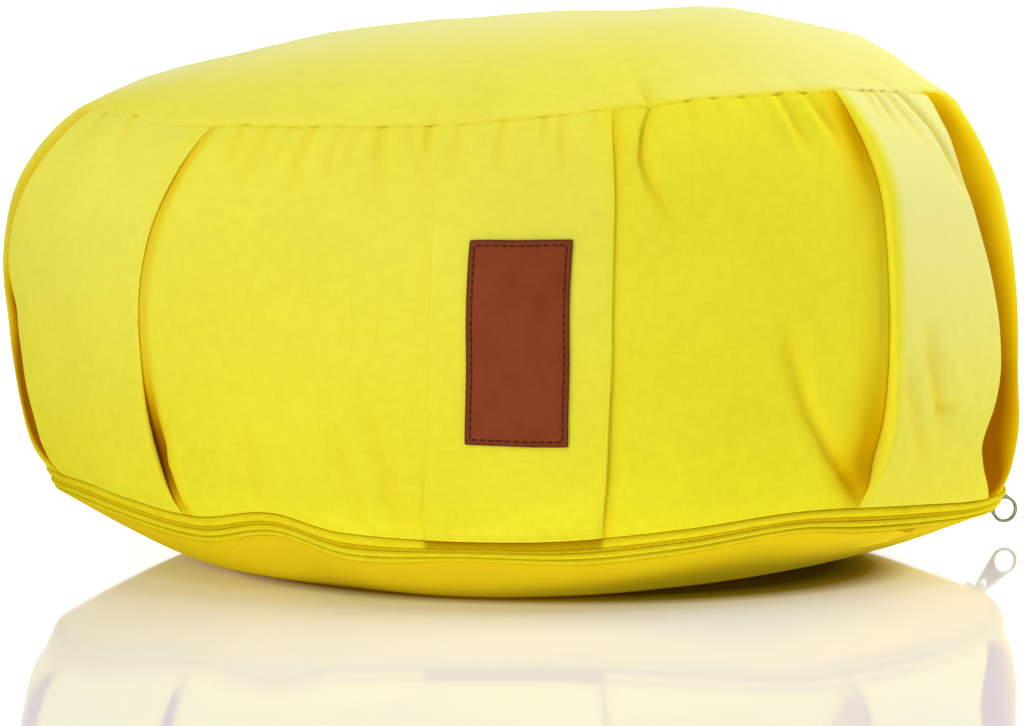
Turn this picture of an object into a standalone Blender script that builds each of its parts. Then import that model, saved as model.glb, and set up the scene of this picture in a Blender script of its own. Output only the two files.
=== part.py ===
"""A round zafu meditation cushion: a filled cotton cover with a crowned top panel, a box-pleated side
band, a zip round the lower seam and a crowned bottom panel with a flat spot to rest on.

Metres, +Z up. The origin is on the flat resting spot, under the middle of the side band. The front,
with the label, faces -Y, and the zip's pull hangs at +X. An azimuth is in degrees round the cushion,
0 at the front and 90 at +X. A height on the side band is a fraction, 0 at its hem and 1 at the top
seam.
"""

import math
from collections import namedtuple

import bmesh
import bpy
from mathutils import Matrix, Vector

# ---- driving dimensions -------------------------------------------------------------------------
TOP_SEAM_RADIUS = 0.1545
HEM_RADIUS = 0.1714
LOWER_SEAM_RADIUS = 0.1672
LOWER_SHIFT_X = 0.0051  # the lower seams lie this far towards +X
TOP_SHIFT_X = 0.0014
CROWN_POWER = 2.6  # how full the top panel is from front to back
SEAM_SINK = 0.0008  # how deep the top seam draws the cloth in
SEAM_SINK_REACH = 0.02  # how far in from the seam that goes, as a share of the top panel

CLEARANCE = 0.00035  # between pieces that touch
FOLD_THICKNESS = 0.0012  # the two layers of cloth in a pleat's edge
PLEAT_RISE = 0.0016  # outer face of a pleat above the band between the pleats
UNDERCUT = 0.0080  # how far the band runs under a pleat's edge
EDGE_ROUND = 0.0006
FOLD_ROOM = 0.4  # the least room under a fold, as a share of its thickness
FREE_BY_SEAM = 0.35  # how free a fold is right beside the seam that holds it
FREE_FROM = 0.10  # the height from which a fold is wholly free
SEAM_SPREAD = 0.0004  # spacing of a pleat's fold lines where they are sewn flat
VALLEY_WIDTH = 8.0  # degrees, how far beside a pleat the band sinks
VALLEY_POWER = 3  # how steep the far wall of that valley is
LIFT_WIDTH = 5.0  # degrees, how far into a pleat its edge's lift reaches

ZIP_START, ZIP_END = -114.0, 114.0
ZIP_RUN_OUT = 8.0  # degrees over which the channel turns into a plain seam
HEM_STEP = 0.0018  # depth of the zip's channel under the band's hem
LOWER_STEP = 0.0012
PLAIN_SEAM_DEPTH = 0.3  # depth of the plain seam, as a share of the channel's
CHANNEL_LIP = 0.0002  # how far the channel's corners lie inside its edges
TAPE_THICKNESS = 0.0010
COIL_THICKNESS = 0.0015
UPPER_TAPE = (0.02, 0.35)  # shares of the channel, from the hem down
COIL = (0.395, 0.645)
LOWER_TAPE = (0.69, 0.90)

LABEL_WIDTH = 0.0330
LABEL_LENGTH = 0.0665
LABEL_THICKNESS = 0.0016
LABEL_AZIMUTH = 0.65
LABEL_HEIGHT = 0.475
LABEL_SIDE_LEAN = math.radians(5.0)  # its sides, against the band's own slant
LABEL_END_LEAN = math.radians(3.3)

SLIDER_AZIMUTH = 106.0
SLIDER_LENGTH, SLIDER_WIDTH, SLIDER_THICKNESS = 0.0095, 0.0064, 0.0018
BRIDGE_WIDTH, BRIDGE_HEIGHT, BRIDGE_BAR = 0.0062, 0.0040, 0.0011
BRIDGE_SINK, BRIDGE_CHAMFER = 0.0004, 0.0012
RING_OUTER, RING_INNER = 0.00495, 0.0033
EYE_OUTER, EYE_INNER = 0.0027, 0.0016
PULL_SPAN = 0.0118  # from the middle of the eye to the middle of the ring
PULL_THICKNESS = 0.0013
PULL_DROOP = math.radians(46.0)  # the pull points outward and this far down

# ---- mesh density -------------------------------------------------------------------------------
PLEAT_STEPS, BETWEEN_STEPS = 6, 9
BAND_LEVELS = (0.0, 0.03, 0.07, 0.13, 0.21, 0.30, 0.40, 0.50, 0.60, 0.70, 0.79, 0.87, 0.93, 0.97, 1.0)
BELLY_RINGS = (0.78, 0.52, 0.26, 0.0)
CROWN_RINGS = (0.965, 0.90, 0.78, 0.60, 0.38, 0.17)
LABEL_COLUMNS, LABEL_ROWS = 8, 12

# ---- tables -------------------------------------------------------------------------------------
BandRow = namedtuple("BandRow", "height radius shift_x")
BAND = (
    BandRow(0.00, HEM_RADIUS, LOWER_SHIFT_X),
    BandRow(0.05, 0.1746, 0.0041),
    BandRow(0.15, 0.1773, 0.0032),
    BandRow(0.28, 0.1788, 0.0017),
    BandRow(0.42, 0.1797, 0.0004),
    BandRow(0.55, 0.1797, -0.0012),
    BandRow(0.68, 0.1776, -0.0019),
    BandRow(0.78, 0.1743, -0.0017),
    BandRow(0.88, 0.1680, -0.0012),
    BandRow(0.95, 0.1612, -0.0002),
    BandRow(1.00, TOP_SEAM_RADIUS, TOP_SHIFT_X),
)

SeamRow = namedtuple("SeamRow", "azimuth z")
TOP_SEAM = (
    SeamRow(-180, 0.1600),
    SeamRow(-90, 0.1590),
    SeamRow(-58, 0.1585),
    SeamRow(-50, 0.1565),
    SeamRow(-30, 0.1575),
    SeamRow(-15, 0.1578),
    SeamRow(0, 0.1603),
    SeamRow(22, 0.1660),
    SeamRow(43, 0.1685),
    SeamRow(62, 0.1667),
    SeamRow(90, 0.1630),
    SeamRow(180, 0.1600),
)
HEM = (
    SeamRow(-180, 0.0280),
    SeamRow(-120, 0.0305),
    SeamRow(-90, 0.0330),
    SeamRow(-63, 0.0335),
    SeamRow(-52, 0.0304),
    SeamRow(-40, 0.0271),
    SeamRow(-30, 0.0302),
    SeamRow(-21, 0.0249),
    SeamRow(0, 0.0230),
    SeamRow(16, 0.0260),
    SeamRow(32, 0.0302),
    SeamRow(50, 0.0286),
    SeamRow(67, 0.0258),
    SeamRow(100, 0.0250),
    SeamRow(180, 0.0280),
)
LOWER_SEAM = (
    SeamRow(-180, 0.0250),
    SeamRow(-130, 0.0262),
    SeamRow(-110, 0.0240),
    SeamRow(-70, 0.0255),
    SeamRow(-56, 0.0228),
    SeamRow(-40, 0.0182),
    SeamRow(-30, 0.0222),
    SeamRow(-20, 0.0151),
    SeamRow(-7, 0.0162),
    SeamRow(6, 0.0149),
    SeamRow(17, 0.0175),
    SeamRow(32, 0.0227),
    SeamRow(42, 0.0208),
    SeamRow(60, 0.0195),
    SeamRow(110, 0.0180),
    SeamRow(130, 0.0225),
    SeamRow(180, 0.0250),
)

# The bottom panel: how far out it lies on the floor, and how fast it rises from there to its seam.
BellyRow = namedtuple("BellyRow", "azimuth resting_radius power")
BELLY = (
    BellyRow(-180, 0.118, 1.22),
    BellyRow(-60, 0.117, 1.17),
    BellyRow(-30, 0.121, 1.20),
    BellyRow(-8, 0.134, 1.20),
    BellyRow(8, 0.129, 1.20),
    BellyRow(25, 0.117, 1.20),
    BellyRow(50, 0.108, 1.20),
    BellyRow(90, 0.110, 1.20),
    BellyRow(180, 0.118, 1.22),
)

CrownRow = namedtuple("CrownRow", "x z")
CROWN = (  # the ridge of the top panel from left to right
    CrownRow(-0.1531, 0.1590),
    CrownRow(-0.1380, 0.1662),
    CrownRow(-0.1167, 0.1729),
    CrownRow(-0.0847, 0.1808),
    CrownRow(-0.0420, 0.1879),
    CrownRow(0.0000, 0.1911),
    CrownRow(0.0434, 0.1933),
    CrownRow(0.0754, 0.1943),
    CrownRow(0.0968, 0.1903),
    CrownRow(0.1181, 0.1854),
    CrownRow(0.1288, 0.1819),
    CrownRow(0.1395, 0.1742),
    CrownRow(0.1559, 0.1630),
)

# One row for each height of a pleat's edge. lift is how far the edge stands off, and valley how far
# the band beside it sinks, both in metres.
EdgeRow = namedtuple("EdgeRow", "height azimuth lift valley")
Pleat = namedtuple("Pleat", "left right")
FRONT_PLEAT = Pleat(
    left=(
        EdgeRow(0.0, -11.7, 0.0002, 0.0),
        EdgeRow(0.3, -9.4, 0.0002, 0.0),
        EdgeRow(0.7, -7.6, 0.0002, 0.0),
        EdgeRow(1.0, -10.3, 0.0002, 0.0),
    ),
    right=(
        EdgeRow(0.0, 7.7, 0.0006, 0.0004),
        EdgeRow(0.2, 8.9, 0.0014, 0.0012),
        EdgeRow(0.5, 10.3, 0.0016, 0.0014),
        EdgeRow(0.8, 11.3, 0.0010, 0.0010),
        EdgeRow(1.0, 10.8, 0.0004, 0.0004),
    ),
)
LEFT_PLEAT = Pleat(
    left=(
        EdgeRow(0.0, -74.0, 0.0008, 0.0005),
        EdgeRow(0.2, -69.5, 0.0020, 0.0040),
        EdgeRow(0.5, -67.8, 0.0024, 0.0048),
        EdgeRow(0.7, -70.6, 0.0016, 0.0024),
        EdgeRow(1.0, -74.0, 0.0006, 0.0005),
    ),
    right=(
        EdgeRow(0.0, -42.7, 0.0006, 0.0008),
        EdgeRow(0.15, -42.7, 0.0024, 0.0060),
        EdgeRow(0.4, -42.8, 0.0022, 0.0050),
        EdgeRow(0.6, -42.1, 0.0018, 0.0026),
        EdgeRow(0.85, -39.7, 0.0012, 0.0016),
        EdgeRow(1.0, -40.5, 0.0004, 0.0004),
    ),
)
RIGHT_PLEAT = Pleat(
    left=(
        EdgeRow(0.0, 39.3, 0.0008, 0.0012),
        EdgeRow(0.12, 40.6, 0.0030, 0.0085),
        EdgeRow(0.3, 42.1, 0.0024, 0.0050),
        EdgeRow(0.55, 44.5, 0.0016, 0.0020),
        EdgeRow(0.82, 46.0, 0.0014, 0.0016),
        EdgeRow(1.0, 43.3, 0.0004, 0.0004),
    ),
    right=(
        EdgeRow(0.0, 66.0, 0.0010, 0.0012),
        EdgeRow(0.12, 61.8, 0.0020, 0.0110),
        EdgeRow(0.3, 66.2, 0.0026, 0.0120),
        EdgeRow(0.6, 64.2, 0.0020, 0.0070),
        EdgeRow(0.85, 62.0, 0.0014, 0.0030),
        EdgeRow(1.0, 63.2, 0.0006, 0.0005),
    ),
)
HIDDEN_PLEAT_CENTRES = (-122.0, 120.0, 180.0)
HIDDEN_HALF_WIDTH = 11.5

# Broad dents and ridges in the band: middle, half-size each way, and depth (a ridge is below 0).
DentRow = namedtuple("DentRow", "azimuth height half_azimuth half_height lean depth")
DENTS = (
    DentRow(15.4, 0.93, 2.4, 0.14, 0.0, 0.0030),
    DentRow(32.8, 0.93, 2.6, 0.10, -8.0, 0.0018),
    DentRow(50.6, 0.33, 2.8, 0.17, -22.0, 0.0026),
    DentRow(47.0, 0.50, 2.6, 0.14, -12.0, -0.0012),
    DentRow(-23.0, 0.04, 6.0, 0.08, 0.0, 0.0020),
    DentRow(-31.0, 0.05, 4.5, 0.07, 0.0, -0.0014),
)


# ---- reading the tables -------------------------------------------------------------------------
def read(rows, column, at):
    """The value of a column at a place along the table's first column, on a smooth curve."""
    if at <= rows[0][0]:
        return getattr(rows[0], column)
    if at >= rows[-1][0]:
        return getattr(rows[-1], column)
    last = len(rows) - 1
    i = max(k for k in range(last) if rows[k][0] <= at)

    def slope(k):
        low, high = rows[max(k - 1, 0)], rows[min(k + 1, last)]
        return (getattr(high, column) - getattr(low, column)) / (high[0] - low[0])

    span = rows[i + 1][0] - rows[i][0]
    s = (at - rows[i][0]) / span
    start, end = getattr(rows[i], column), getattr(rows[i + 1], column)
    return (
        start * (1 + 2 * s) * (1 - s) ** 2
        + end * (3 - 2 * s) * s * s
        + span * (slope(i) * s * (1 - s) ** 2 - slope(i + 1) * s * s * (1 - s))
    )


def hump(offset, half_width):
    """1 in the middle, falling smoothly to nothing about two half-widths away."""
    return math.exp(-((offset / half_width) ** 2))


def turn_between(azimuth, other):
    """The shortest turn from other to azimuth, in degrees."""
    return (azimuth - other + 180.0) % 360.0 - 180.0


def wrapped(azimuth):
    return turn_between(azimuth, 0.0)


# ---- the band -----------------------------------------------------------------------------------
def hidden_pleat(centre):
    """A pleat of the unseen side, with both edges lifted a little."""
    rows = ((0.0, 0.0, 0.0006, 0.0006), (0.35, 1.4, 0.0018, 0.0034), (0.7, 1.6, 0.0014, 0.0020),
            (1.0, 0.0, 0.0004, 0.0004))
    left = [EdgeRow(h, centre - HIDDEN_HALF_WIDTH + a, lift, v) for h, a, lift, v in rows]
    right = [EdgeRow(h, centre + HIDDEN_HALF_WIDTH - a, lift, v) for h, a, lift, v in rows]
    return Pleat(tuple(left), tuple(right))


def all_pleats():
    """Every pleat in order of azimuth, from the one behind on the left to the one at the back."""
    behind_left, behind_right, back = (hidden_pleat(c) for c in HIDDEN_PLEAT_CENTRES)
    return (behind_left, LEFT_PLEAT, FRONT_PLEAT, RIGHT_PLEAT, behind_right, back)


def sewn(height):
    """How free the folds are at a height: 0 where a seam holds them flat, 1 well inside the band."""
    near = min(height, 1.0 - height)
    if near <= 0:
        return 0.0
    return min(1.0, FREE_BY_SEAM + (1.0 - FREE_BY_SEAM) * near / FREE_FROM)


def dent_depth(azimuth, height):
    """How far the dents and ridges sink the band at a place."""
    depth = 0.0
    for row in DENTS:
        across = turn_between(azimuth, row.azimuth) - row.lean * (row.height - height)
        depth += row.depth * hump(across, row.half_azimuth) * hump(height - row.height, row.half_height)
    return depth


def band_point(azimuth, height, out=0.0):
    """A point on the band, out metres outside the cloth that lies between the pleats."""
    direction = math.radians(azimuth)
    low, high = read(HEM, "z", wrapped(azimuth)), read(TOP_SEAM, "z", wrapped(azimuth))
    free = sewn(height)
    radius = read(BAND, "radius", height) + out - free * dent_depth(azimuth, height)
    return Vector((
        read(BAND, "shift_x", height) + radius * math.sin(direction),
        -radius * math.cos(direction),
        low + (high - low) * height,
    ))


def degrees_of(length, height):
    """The turn that a length round the band takes at a height."""
    return math.degrees(length / read(BAND, "radius", height))


def edge_points(rows, side, height):
    """The fold of a pleat's edge as (azimuth, out), from the band beside it to the pleat's face.

    side is -1 for the edge at the lower azimuth and 1 for the other.
    """
    azimuth = read(rows, "azimuth", height)
    free = sewn(height)
    top = free * (PLEAT_RISE + read(rows, "lift", height))
    under = top - free * FOLD_THICKNESS
    floor = min(-free * read(rows, "valley", height), under - FOLD_ROOM * free * FOLD_THICKNESS)
    inner = azimuth - side * degrees_of(UNDERCUT, height)
    round_ = azimuth - side * degrees_of(EDGE_ROUND, height)
    folded = ((azimuth, floor), (inner, floor), (inner, under), (round_, under),
              (azimuth, (under + top) / 2), (round_, top))
    if free > 0:
        return folded
    step = degrees_of(SEAM_SPREAD, height)
    return [(azimuth + side * (2.5 - k) * step, 0.0) for k in range(len(folded))]


def pleat_out(pleat, azimuth, height):
    """How far a pleat's face stands outside the band."""
    out = PLEAT_RISE
    for rows in (pleat.left, pleat.right):
        out += read(rows, "lift", height) * hump(azimuth - read(rows, "azimuth", height), LIFT_WIDTH)
    return out * sewn(height)


def between_out(before, after, azimuth, height):
    """How far the band between two pleats lies outside its plain form."""
    out = 0.0
    for rows in (before.right, after.left):
        near = abs(turn_between(azimuth, read(rows, "azimuth", height)))
        out -= read(rows, "valley", height) * math.exp(-((near / VALLEY_WIDTH) ** VALLEY_POWER))
    return out * sewn(height)


def section(height):
    """The whole cross-section of the band at a height, as (azimuth, out) in order of azimuth."""
    pleats = all_pleats()
    points = []
    for i, pleat in enumerate(pleats):
        left = edge_points(pleat.left, -1, height)
        right = edge_points(pleat.right, 1, height)
        points += left
        first, last = left[-1][0], right[-1][0]
        for k in range(1, PLEAT_STEPS):
            azimuth = first + (last - first) * k / PLEAT_STEPS
            points.append((azimuth, pleat_out(pleat, azimuth, height)))
        points += reversed(right)
        after = pleats[(i + 1) % len(pleats)]
        start = right[0][0]
        end = edge_points(after.left, -1, height)[0][0]
        span = (end - start) % 360.0
        for k in range(1, BETWEEN_STEPS):
            azimuth = start + span * k / BETWEEN_STEPS
            points.append((azimuth, between_out(pleat, after, azimuth, height)))
    return points


# ---- the panels above and below -----------------------------------------------------------------
def zip_here(azimuth):
    """1 along the zip and 0 where the lower seam is plain, with a short run between."""
    turn = wrapped(azimuth)
    inside = min(turn - ZIP_START, ZIP_END - turn) / ZIP_RUN_OUT + 1.0
    return max(0.0, min(1.0, inside))


def lower_point(azimuth, radius, z):
    direction = math.radians(azimuth)
    return Vector((LOWER_SHIFT_X + radius * math.sin(direction), -radius * math.cos(direction), z))


def channel_corner(azimuth, upper):
    """A corner of the channel that holds the zip: radius and z, under the hem or over the panel."""
    deep = PLAIN_SEAM_DEPTH + (1.0 - PLAIN_SEAM_DEPTH) * zip_here(azimuth)
    turn = wrapped(azimuth)
    if upper:
        return HEM_RADIUS - HEM_STEP * deep, read(HEM, "z", turn) - CHANNEL_LIP
    return LOWER_SEAM_RADIUS - LOWER_STEP * deep, read(LOWER_SEAM, "z", turn) + CHANNEL_LIP


def belly_point(azimuth, share):
    """A point on the bottom panel: share is 1 at its seam and 0 at the resting spot's rim."""
    turn = wrapped(azimuth)
    resting = read(BELLY, "resting_radius", turn)
    radius = resting + (LOWER_SEAM_RADIUS - resting) * share
    z = read(LOWER_SEAM, "z", turn) * share ** read(BELLY, "power", turn)
    return lower_point(azimuth, radius, z)


def crown_point(azimuth, share):
    """A point on the top panel: share is 1 at its seam and 0 in the middle."""
    direction = math.radians(azimuth)
    radius = TOP_SEAM_RADIUS * share
    x = TOP_SHIFT_X + radius * math.sin(direction)
    along = share * math.cos(direction)
    reach = math.sqrt(max(1.0 - (share * math.sin(direction)) ** 2, 1e-12))
    fall = min(abs(along) / reach, 1.0) ** CROWN_POWER
    seam = read(TOP_SEAM, "z", wrapped(azimuth))
    rim = seam * share**2 + read(TOP_SEAM, "z", 0.0) * (1.0 - share**2)
    ridge = read(CROWN, "z", x)
    height = rim + (ridge - rim) * (1.0 - fall)
    sink = SEAM_SINK * hump(1.0 - share, SEAM_SINK_REACH)
    return Vector((x, -radius * math.cos(direction), max(height, rim) - sink))


# ---- meshes -------------------------------------------------------------------------------------
def make_material(name, colour, roughness, metallic=0.0):
    material = bpy.data.materials.new(name)
    material.use_nodes = True
    shader = material.node_tree.nodes["Principled BSDF"]
    shader.inputs["Base Color"].default_value = (*colour, 1.0)
    shader.inputs["Roughness"].default_value = roughness
    shader.inputs["Metallic"].default_value = metallic
    return material


def make_object(name, mesh_builder, material, sharp_angle=40.0):
    """An object from a bmesh, shaded smooth with its sharp edges kept."""
    bmesh.ops.recalc_face_normals(mesh_builder, faces=mesh_builder.faces)
    mesh = bpy.data.meshes.new(name)
    mesh_builder.to_mesh(mesh)
    mesh_builder.free()
    mesh.materials.append(material)
    mesh.shade_smooth()
    mesh.set_sharp_from_angle(angle=math.radians(sharp_angle))
    made = bpy.data.objects.new(name, mesh)
    bpy.context.scene.collection.objects.link(made)
    return made


def add_loop(bm, points):
    return [bm.verts.new(point) for point in points]


def bridge(bm, lower, upper, closed=True):
    """Two triangles between each pair of neighbours of two loops with as many points."""
    count = len(lower)
    for i in range(count if closed else count - 1):
        j = (i + 1) % count
        bm.faces.new((lower[i], lower[j], upper[j]))
        bm.faces.new((lower[i], upper[j], upper[i]))


def close_loop(bm, loop, centre):
    """A fan from a point in the middle of a loop."""
    middle = bm.verts.new(centre)
    for i, vert in enumerate(loop):
        bm.faces.new((vert, loop[(i + 1) % len(loop)], middle))


def make_cushion(material):
    """The filled cover as one closed form, built up in rings from the floor to the crown."""
    bm = bmesh.new()
    seam_azimuths = [azimuth for azimuth, _ in section(0.0)]
    top_azimuths = [azimuth for azimuth, _ in section(1.0)]
    rings = [[belly_point(a, share) for a in seam_azimuths] for share in reversed(BELLY_RINGS)]
    rings.append([belly_point(a, 1.0) for a in seam_azimuths])
    for upper in (False, True):
        rings.append([lower_point(a, *channel_corner(a, upper)) for a in seam_azimuths])
    for height in BAND_LEVELS:
        rings.append([band_point(a, height, out) for a, out in section(height)])
    rings += [[crown_point(a, share) for a in top_azimuths] for share in CROWN_RINGS]
    loops = [add_loop(bm, ring) for ring in rings]
    for lower, upper in zip(loops, loops[1:]):
        bridge(bm, lower, upper)
    close_loop(bm, loops[-1], crown_point(0.0, 0.0))
    close_loop(bm, loops[0], (LOWER_SHIFT_X, 0.0, 0.0))
    return make_object("cushion_body", bm, material)


def make_strip(name, material, profile):
    """A strip along the zip: profile holds (share down the channel, outward distance) in order."""
    bm = bmesh.new()
    azimuths = [a for a, _ in section(0.0) if ZIP_START <= wrapped(a) <= ZIP_END and zip_here(a) == 1]
    loops = []
    for azimuth in azimuths:
        top_radius, top_z = channel_corner(azimuth, True)
        low_radius, low_z = channel_corner(azimuth, False)
        slope = Vector((low_radius - top_radius, low_z - top_z))
        outward = Vector((-slope.y, slope.x)).normalized()
        points = []
        for share, out in profile:
            place = Vector((top_radius, top_z)) + slope * share + outward * out
            points.append(lower_point(azimuth, place.x, place.y))
        loops.append(add_loop(bm, points))
    for one, other in zip(loops, loops[1:]):
        bridge(bm, one, other)
    bm.faces.new(loops[0])
    bm.faces.new(loops[-1])
    bmesh.ops.triangulate(bm, faces=[face for face in bm.faces if len(face.verts) > 3])
    return make_object(name, bm, material)


def flat_profile(start, end, thickness):
    """A flat strip's cross-section, lying just off the channel's floor."""
    near, far = CLEARANCE, CLEARANCE + thickness
    return ((start, near), (end, near), (end, far), (start, far))


def coil_profile(start, end, thickness):
    """The coil's cross-section, a flattened half round."""
    near = CLEARANCE
    shares = (0.0, 0.2, 0.5, 0.8, 1.0)
    rises = (0.45, 0.85, 1.0, 0.85, 0.45)
    span = end - start
    over = [(start + span * s, near + thickness * r) for s, r in zip(reversed(shares), rises)]
    return ((start, near), (end, near), *over)


def make_label(material):
    """The leather label, bent to the front pleat."""
    bm = bmesh.new()
    height_of_band = read(TOP_SEAM, "z", 0.0) - read(HEM, "z", 0.0)
    layers = []
    for out in (CLEARANCE, CLEARANCE + LABEL_THICKNESS):
        grid = []
        for row in range(LABEL_ROWS + 1):
            for column in range(LABEL_COLUMNS + 1):
                across = LABEL_WIDTH * (column / LABEL_COLUMNS - 0.5)
                up = LABEL_LENGTH * (row / LABEL_ROWS - 0.5)
                height = LABEL_HEIGHT + (up - across * math.tan(LABEL_END_LEAN)) / height_of_band
                leaning = across + up * math.tan(LABEL_SIDE_LEAN)
                azimuth = LABEL_AZIMUTH + degrees_of(leaning, height)
                stand = pleat_out(FRONT_PLEAT, azimuth, height) + out
                grid.append(bm.verts.new(band_point(azimuth, height, stand)))
        layers.append(grid)
    wide = LABEL_COLUMNS + 1
    back, face = layers
    for row in range(LABEL_ROWS):
        for column in range(LABEL_COLUMNS):
            corner = row * wide + column
            square = (corner, corner + 1, corner + 1 + wide, corner + wide)
            for grid in layers:
                bm.faces.new([grid[k] for k in square[:3]])
                bm.faces.new([grid[k] for k in (square[0], square[2], square[3])])
    rim = list(range(LABEL_COLUMNS))
    rim += [LABEL_COLUMNS + row * wide for row in range(LABEL_ROWS)]
    rim += [LABEL_ROWS * wide + LABEL_COLUMNS - column for column in range(LABEL_COLUMNS)]
    rim += [(LABEL_ROWS - row) * wide for row in range(LABEL_ROWS)]
    bridge(bm, [back[k] for k in rim], [face[k] for k in rim])
    return make_object("label", bm, material)


# ---- the slider and its pull --------------------------------------------------------------------
def slider_frame():
    """Axes at the slider: x along the zip, y down the channel, z outward; origin on the coil."""
    top_radius, top_z = channel_corner(SLIDER_AZIMUTH, True)
    low_radius, low_z = channel_corner(SLIDER_AZIMUTH, False)
    direction = math.radians(SLIDER_AZIMUTH)
    radial = Vector((math.sin(direction), -math.cos(direction), 0.0))
    along = Vector((math.cos(direction), math.sin(direction), 0.0))
    outward = along.cross(radial * (top_radius - low_radius) + Vector((0, 0, top_z - low_z)))
    outward = -outward.normalized() if outward.dot(radial) < 0 else outward.normalized()
    down = outward.cross(along)
    middle = lower_point(SLIDER_AZIMUTH, (top_radius + low_radius) / 2, (top_z + low_z) / 2)
    seat = middle + outward * (2 * CLEARANCE + COIL_THICKNESS + SLIDER_THICKNESS / 2)
    return Matrix.Translation(seat) @ Matrix((along, down, outward)).transposed().to_4x4()


def add_box(bm, size, place):
    made = bmesh.ops.create_cube(bm, size=1.0)["verts"]
    bmesh.ops.scale(bm, vec=size, verts=made)
    bmesh.ops.translate(bm, vec=place, verts=made)
    return made


def arch_outline(half, foot, top, chamfer):
    """An arch's outline from its right foot over the top to its left foot."""
    return (
        (half, foot),
        (half, top - chamfer),
        (half - chamfer, top),
        (chamfer - half, top),
        (-half, top - chamfer),
        (-half, foot),
    )


def make_slider(material):
    """The slider's plate with the arched bridge that holds the pull, as one solid."""
    half, bar = BRIDGE_WIDTH / 2, BRIDGE_BAR / 2
    base = SLIDER_THICKNESS / 2
    top = base + BRIDGE_HEIGHT
    plate = bmesh.new()
    add_box(plate, (SLIDER_LENGTH, SLIDER_WIDTH, SLIDER_THICKNESS), (0, 0, 0))
    bmesh.ops.bevel(plate, geom=plate.edges[:], offset=0.0005, segments=2, affect="EDGES")
    slider = make_object("zip_slider", plate, material)
    arch = bmesh.new()
    outer = arch_outline(half, base - BRIDGE_SINK, top, BRIDGE_CHAMFER)
    inner = arch_outline(half - BRIDGE_BAR, base - BRIDGE_SINK, top - BRIDGE_BAR, BRIDGE_CHAMFER / 2)
    loop = [arch.verts.new((x, -bar, z)) for x, z in (*outer, *reversed(inner))]
    face = arch.faces.new(loop)
    swept = bmesh.ops.extrude_face_region(arch, geom=[face])["geom"]
    moved = [item for item in swept if isinstance(item, bmesh.types.BMVert)]
    bmesh.ops.translate(arch, vec=(0, BRIDGE_BAR, 0), verts=moved)
    bridge_piece = make_object("bridge_form", arch, material)
    join_solids(slider, bridge_piece)
    slider.matrix_world = slider_frame()
    return slider


def join_solids(kept, added):
    """Joins a second form to an object by a Boolean union, and hides the second form."""
    union = kept.modifiers.new("join_" + added.name, "BOOLEAN")
    union.operation = "UNION"
    union.object = added
    added.hide_render = True
    added.display_type = "WIRE"
    added.parent = kept


def make_pull(material, frame):
    """The flat pull: an eye round the slider's bridge, a tapered neck and a finger ring."""
    lean = math.asin((RING_OUTER - EYE_OUTER) / PULL_SPAN)
    outline = []
    for centre, radius, start, end in (
        (PULL_SPAN, RING_OUTER, -math.pi / 2 - lean, math.pi / 2 + lean),
        (0.0, EYE_OUTER, math.pi / 2 + lean, 3 * math.pi / 2 - lean),
    ):
        steps = 20 if radius == RING_OUTER else 12
        for k in range(steps + 1):
            angle = start + (end - start) * k / steps
            outline.append((centre + radius * math.cos(angle), radius * math.sin(angle)))
    bm = bmesh.new()
    face = bm.faces.new([bm.verts.new((x, y, -PULL_THICKNESS / 2)) for x, y in outline])
    swept = bmesh.ops.extrude_face_region(bm, geom=[face])["geom"]
    moved = [item for item in swept if isinstance(item, bmesh.types.BMVert)]
    bmesh.ops.translate(bm, vec=(0, 0, PULL_THICKNESS), verts=moved)
    pull = make_object("zip_pull", bm, material)
    for name, centre, radius in (("ring_hole", PULL_SPAN, RING_INNER), ("eye_hole", 0.0, EYE_INNER)):
        cutter_mesh = bmesh.new()
        bmesh.ops.create_cone(cutter_mesh, segments=24, radius1=radius, radius2=radius,
                              depth=4 * PULL_THICKNESS, cap_ends=True)
        bmesh.ops.translate(cutter_mesh, vec=(centre, 0, 0), verts=cutter_mesh.verts)
        cutter = make_object(name, cutter_mesh, material)
        cutter.hide_render = True
        cutter.display_type = "WIRE"
        cutter.parent = pull
        cut = pull.modifiers.new(name, "BOOLEAN")
        cut.operation = "DIFFERENCE"
        cut.object = cutter
    # The eye sits round the top of the bridge, and the pull hangs outward and down from it.
    eye = frame @ Vector((0, 0, SLIDER_THICKNESS / 2 + BRIDGE_HEIGHT - BRIDGE_BAR / 2))
    direction = math.radians(SLIDER_AZIMUTH)
    radial = Vector((math.sin(direction), -math.cos(direction), 0.0))
    along = Vector((math.cos(direction), math.sin(direction), 0.0))
    span = radial * math.cos(PULL_DROOP) - Vector((0, 0, math.sin(PULL_DROOP)))
    across = along.cross(span).normalized()
    pull.matrix_world = Matrix.Translation(eye) @ Matrix((span, across, -along)).transposed().to_4x4()
    return pull


def main():
    for stale in list(bpy.data.objects):
        bpy.data.objects.remove(stale)
    cotton = make_material("yellow_cotton", (0.80, 0.70, 0.045), 0.85)
    tape = make_material("zip_tape_yellow", (0.76, 0.62, 0.04), 0.8)
    coil = make_material("zip_coil_yellow", (0.78, 0.62, 0.06), 0.5)
    leather = make_material("brown_leather", (0.26, 0.045, 0.014), 0.55)
    nickel = make_material("nickel", (0.55, 0.53, 0.45), 0.3, metallic=1.0)
    make_cushion(cotton)
    make_strip("zip_tape_upper", tape, flat_profile(*UPPER_TAPE, TAPE_THICKNESS))
    make_strip("zip_coil", coil, coil_profile(*COIL, COIL_THICKNESS))
    make_strip("zip_tape_lower", tape, flat_profile(*LOWER_TAPE, TAPE_THICKNESS))
    make_label(leather)
    slider = make_slider(nickel)
    make_pull(nickel, slider.matrix_world)


main()
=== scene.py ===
"""The looks of a round zafu meditation cushion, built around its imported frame.

Metres, +Z up. The label faces -Y and the zip's pull hangs at +X. An azimuth is in degrees round the
cushion, 0 at the front and 90 at +X. A height on the side band is a fraction, 0 at its hem and 1 at
the top seam.
"""

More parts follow.
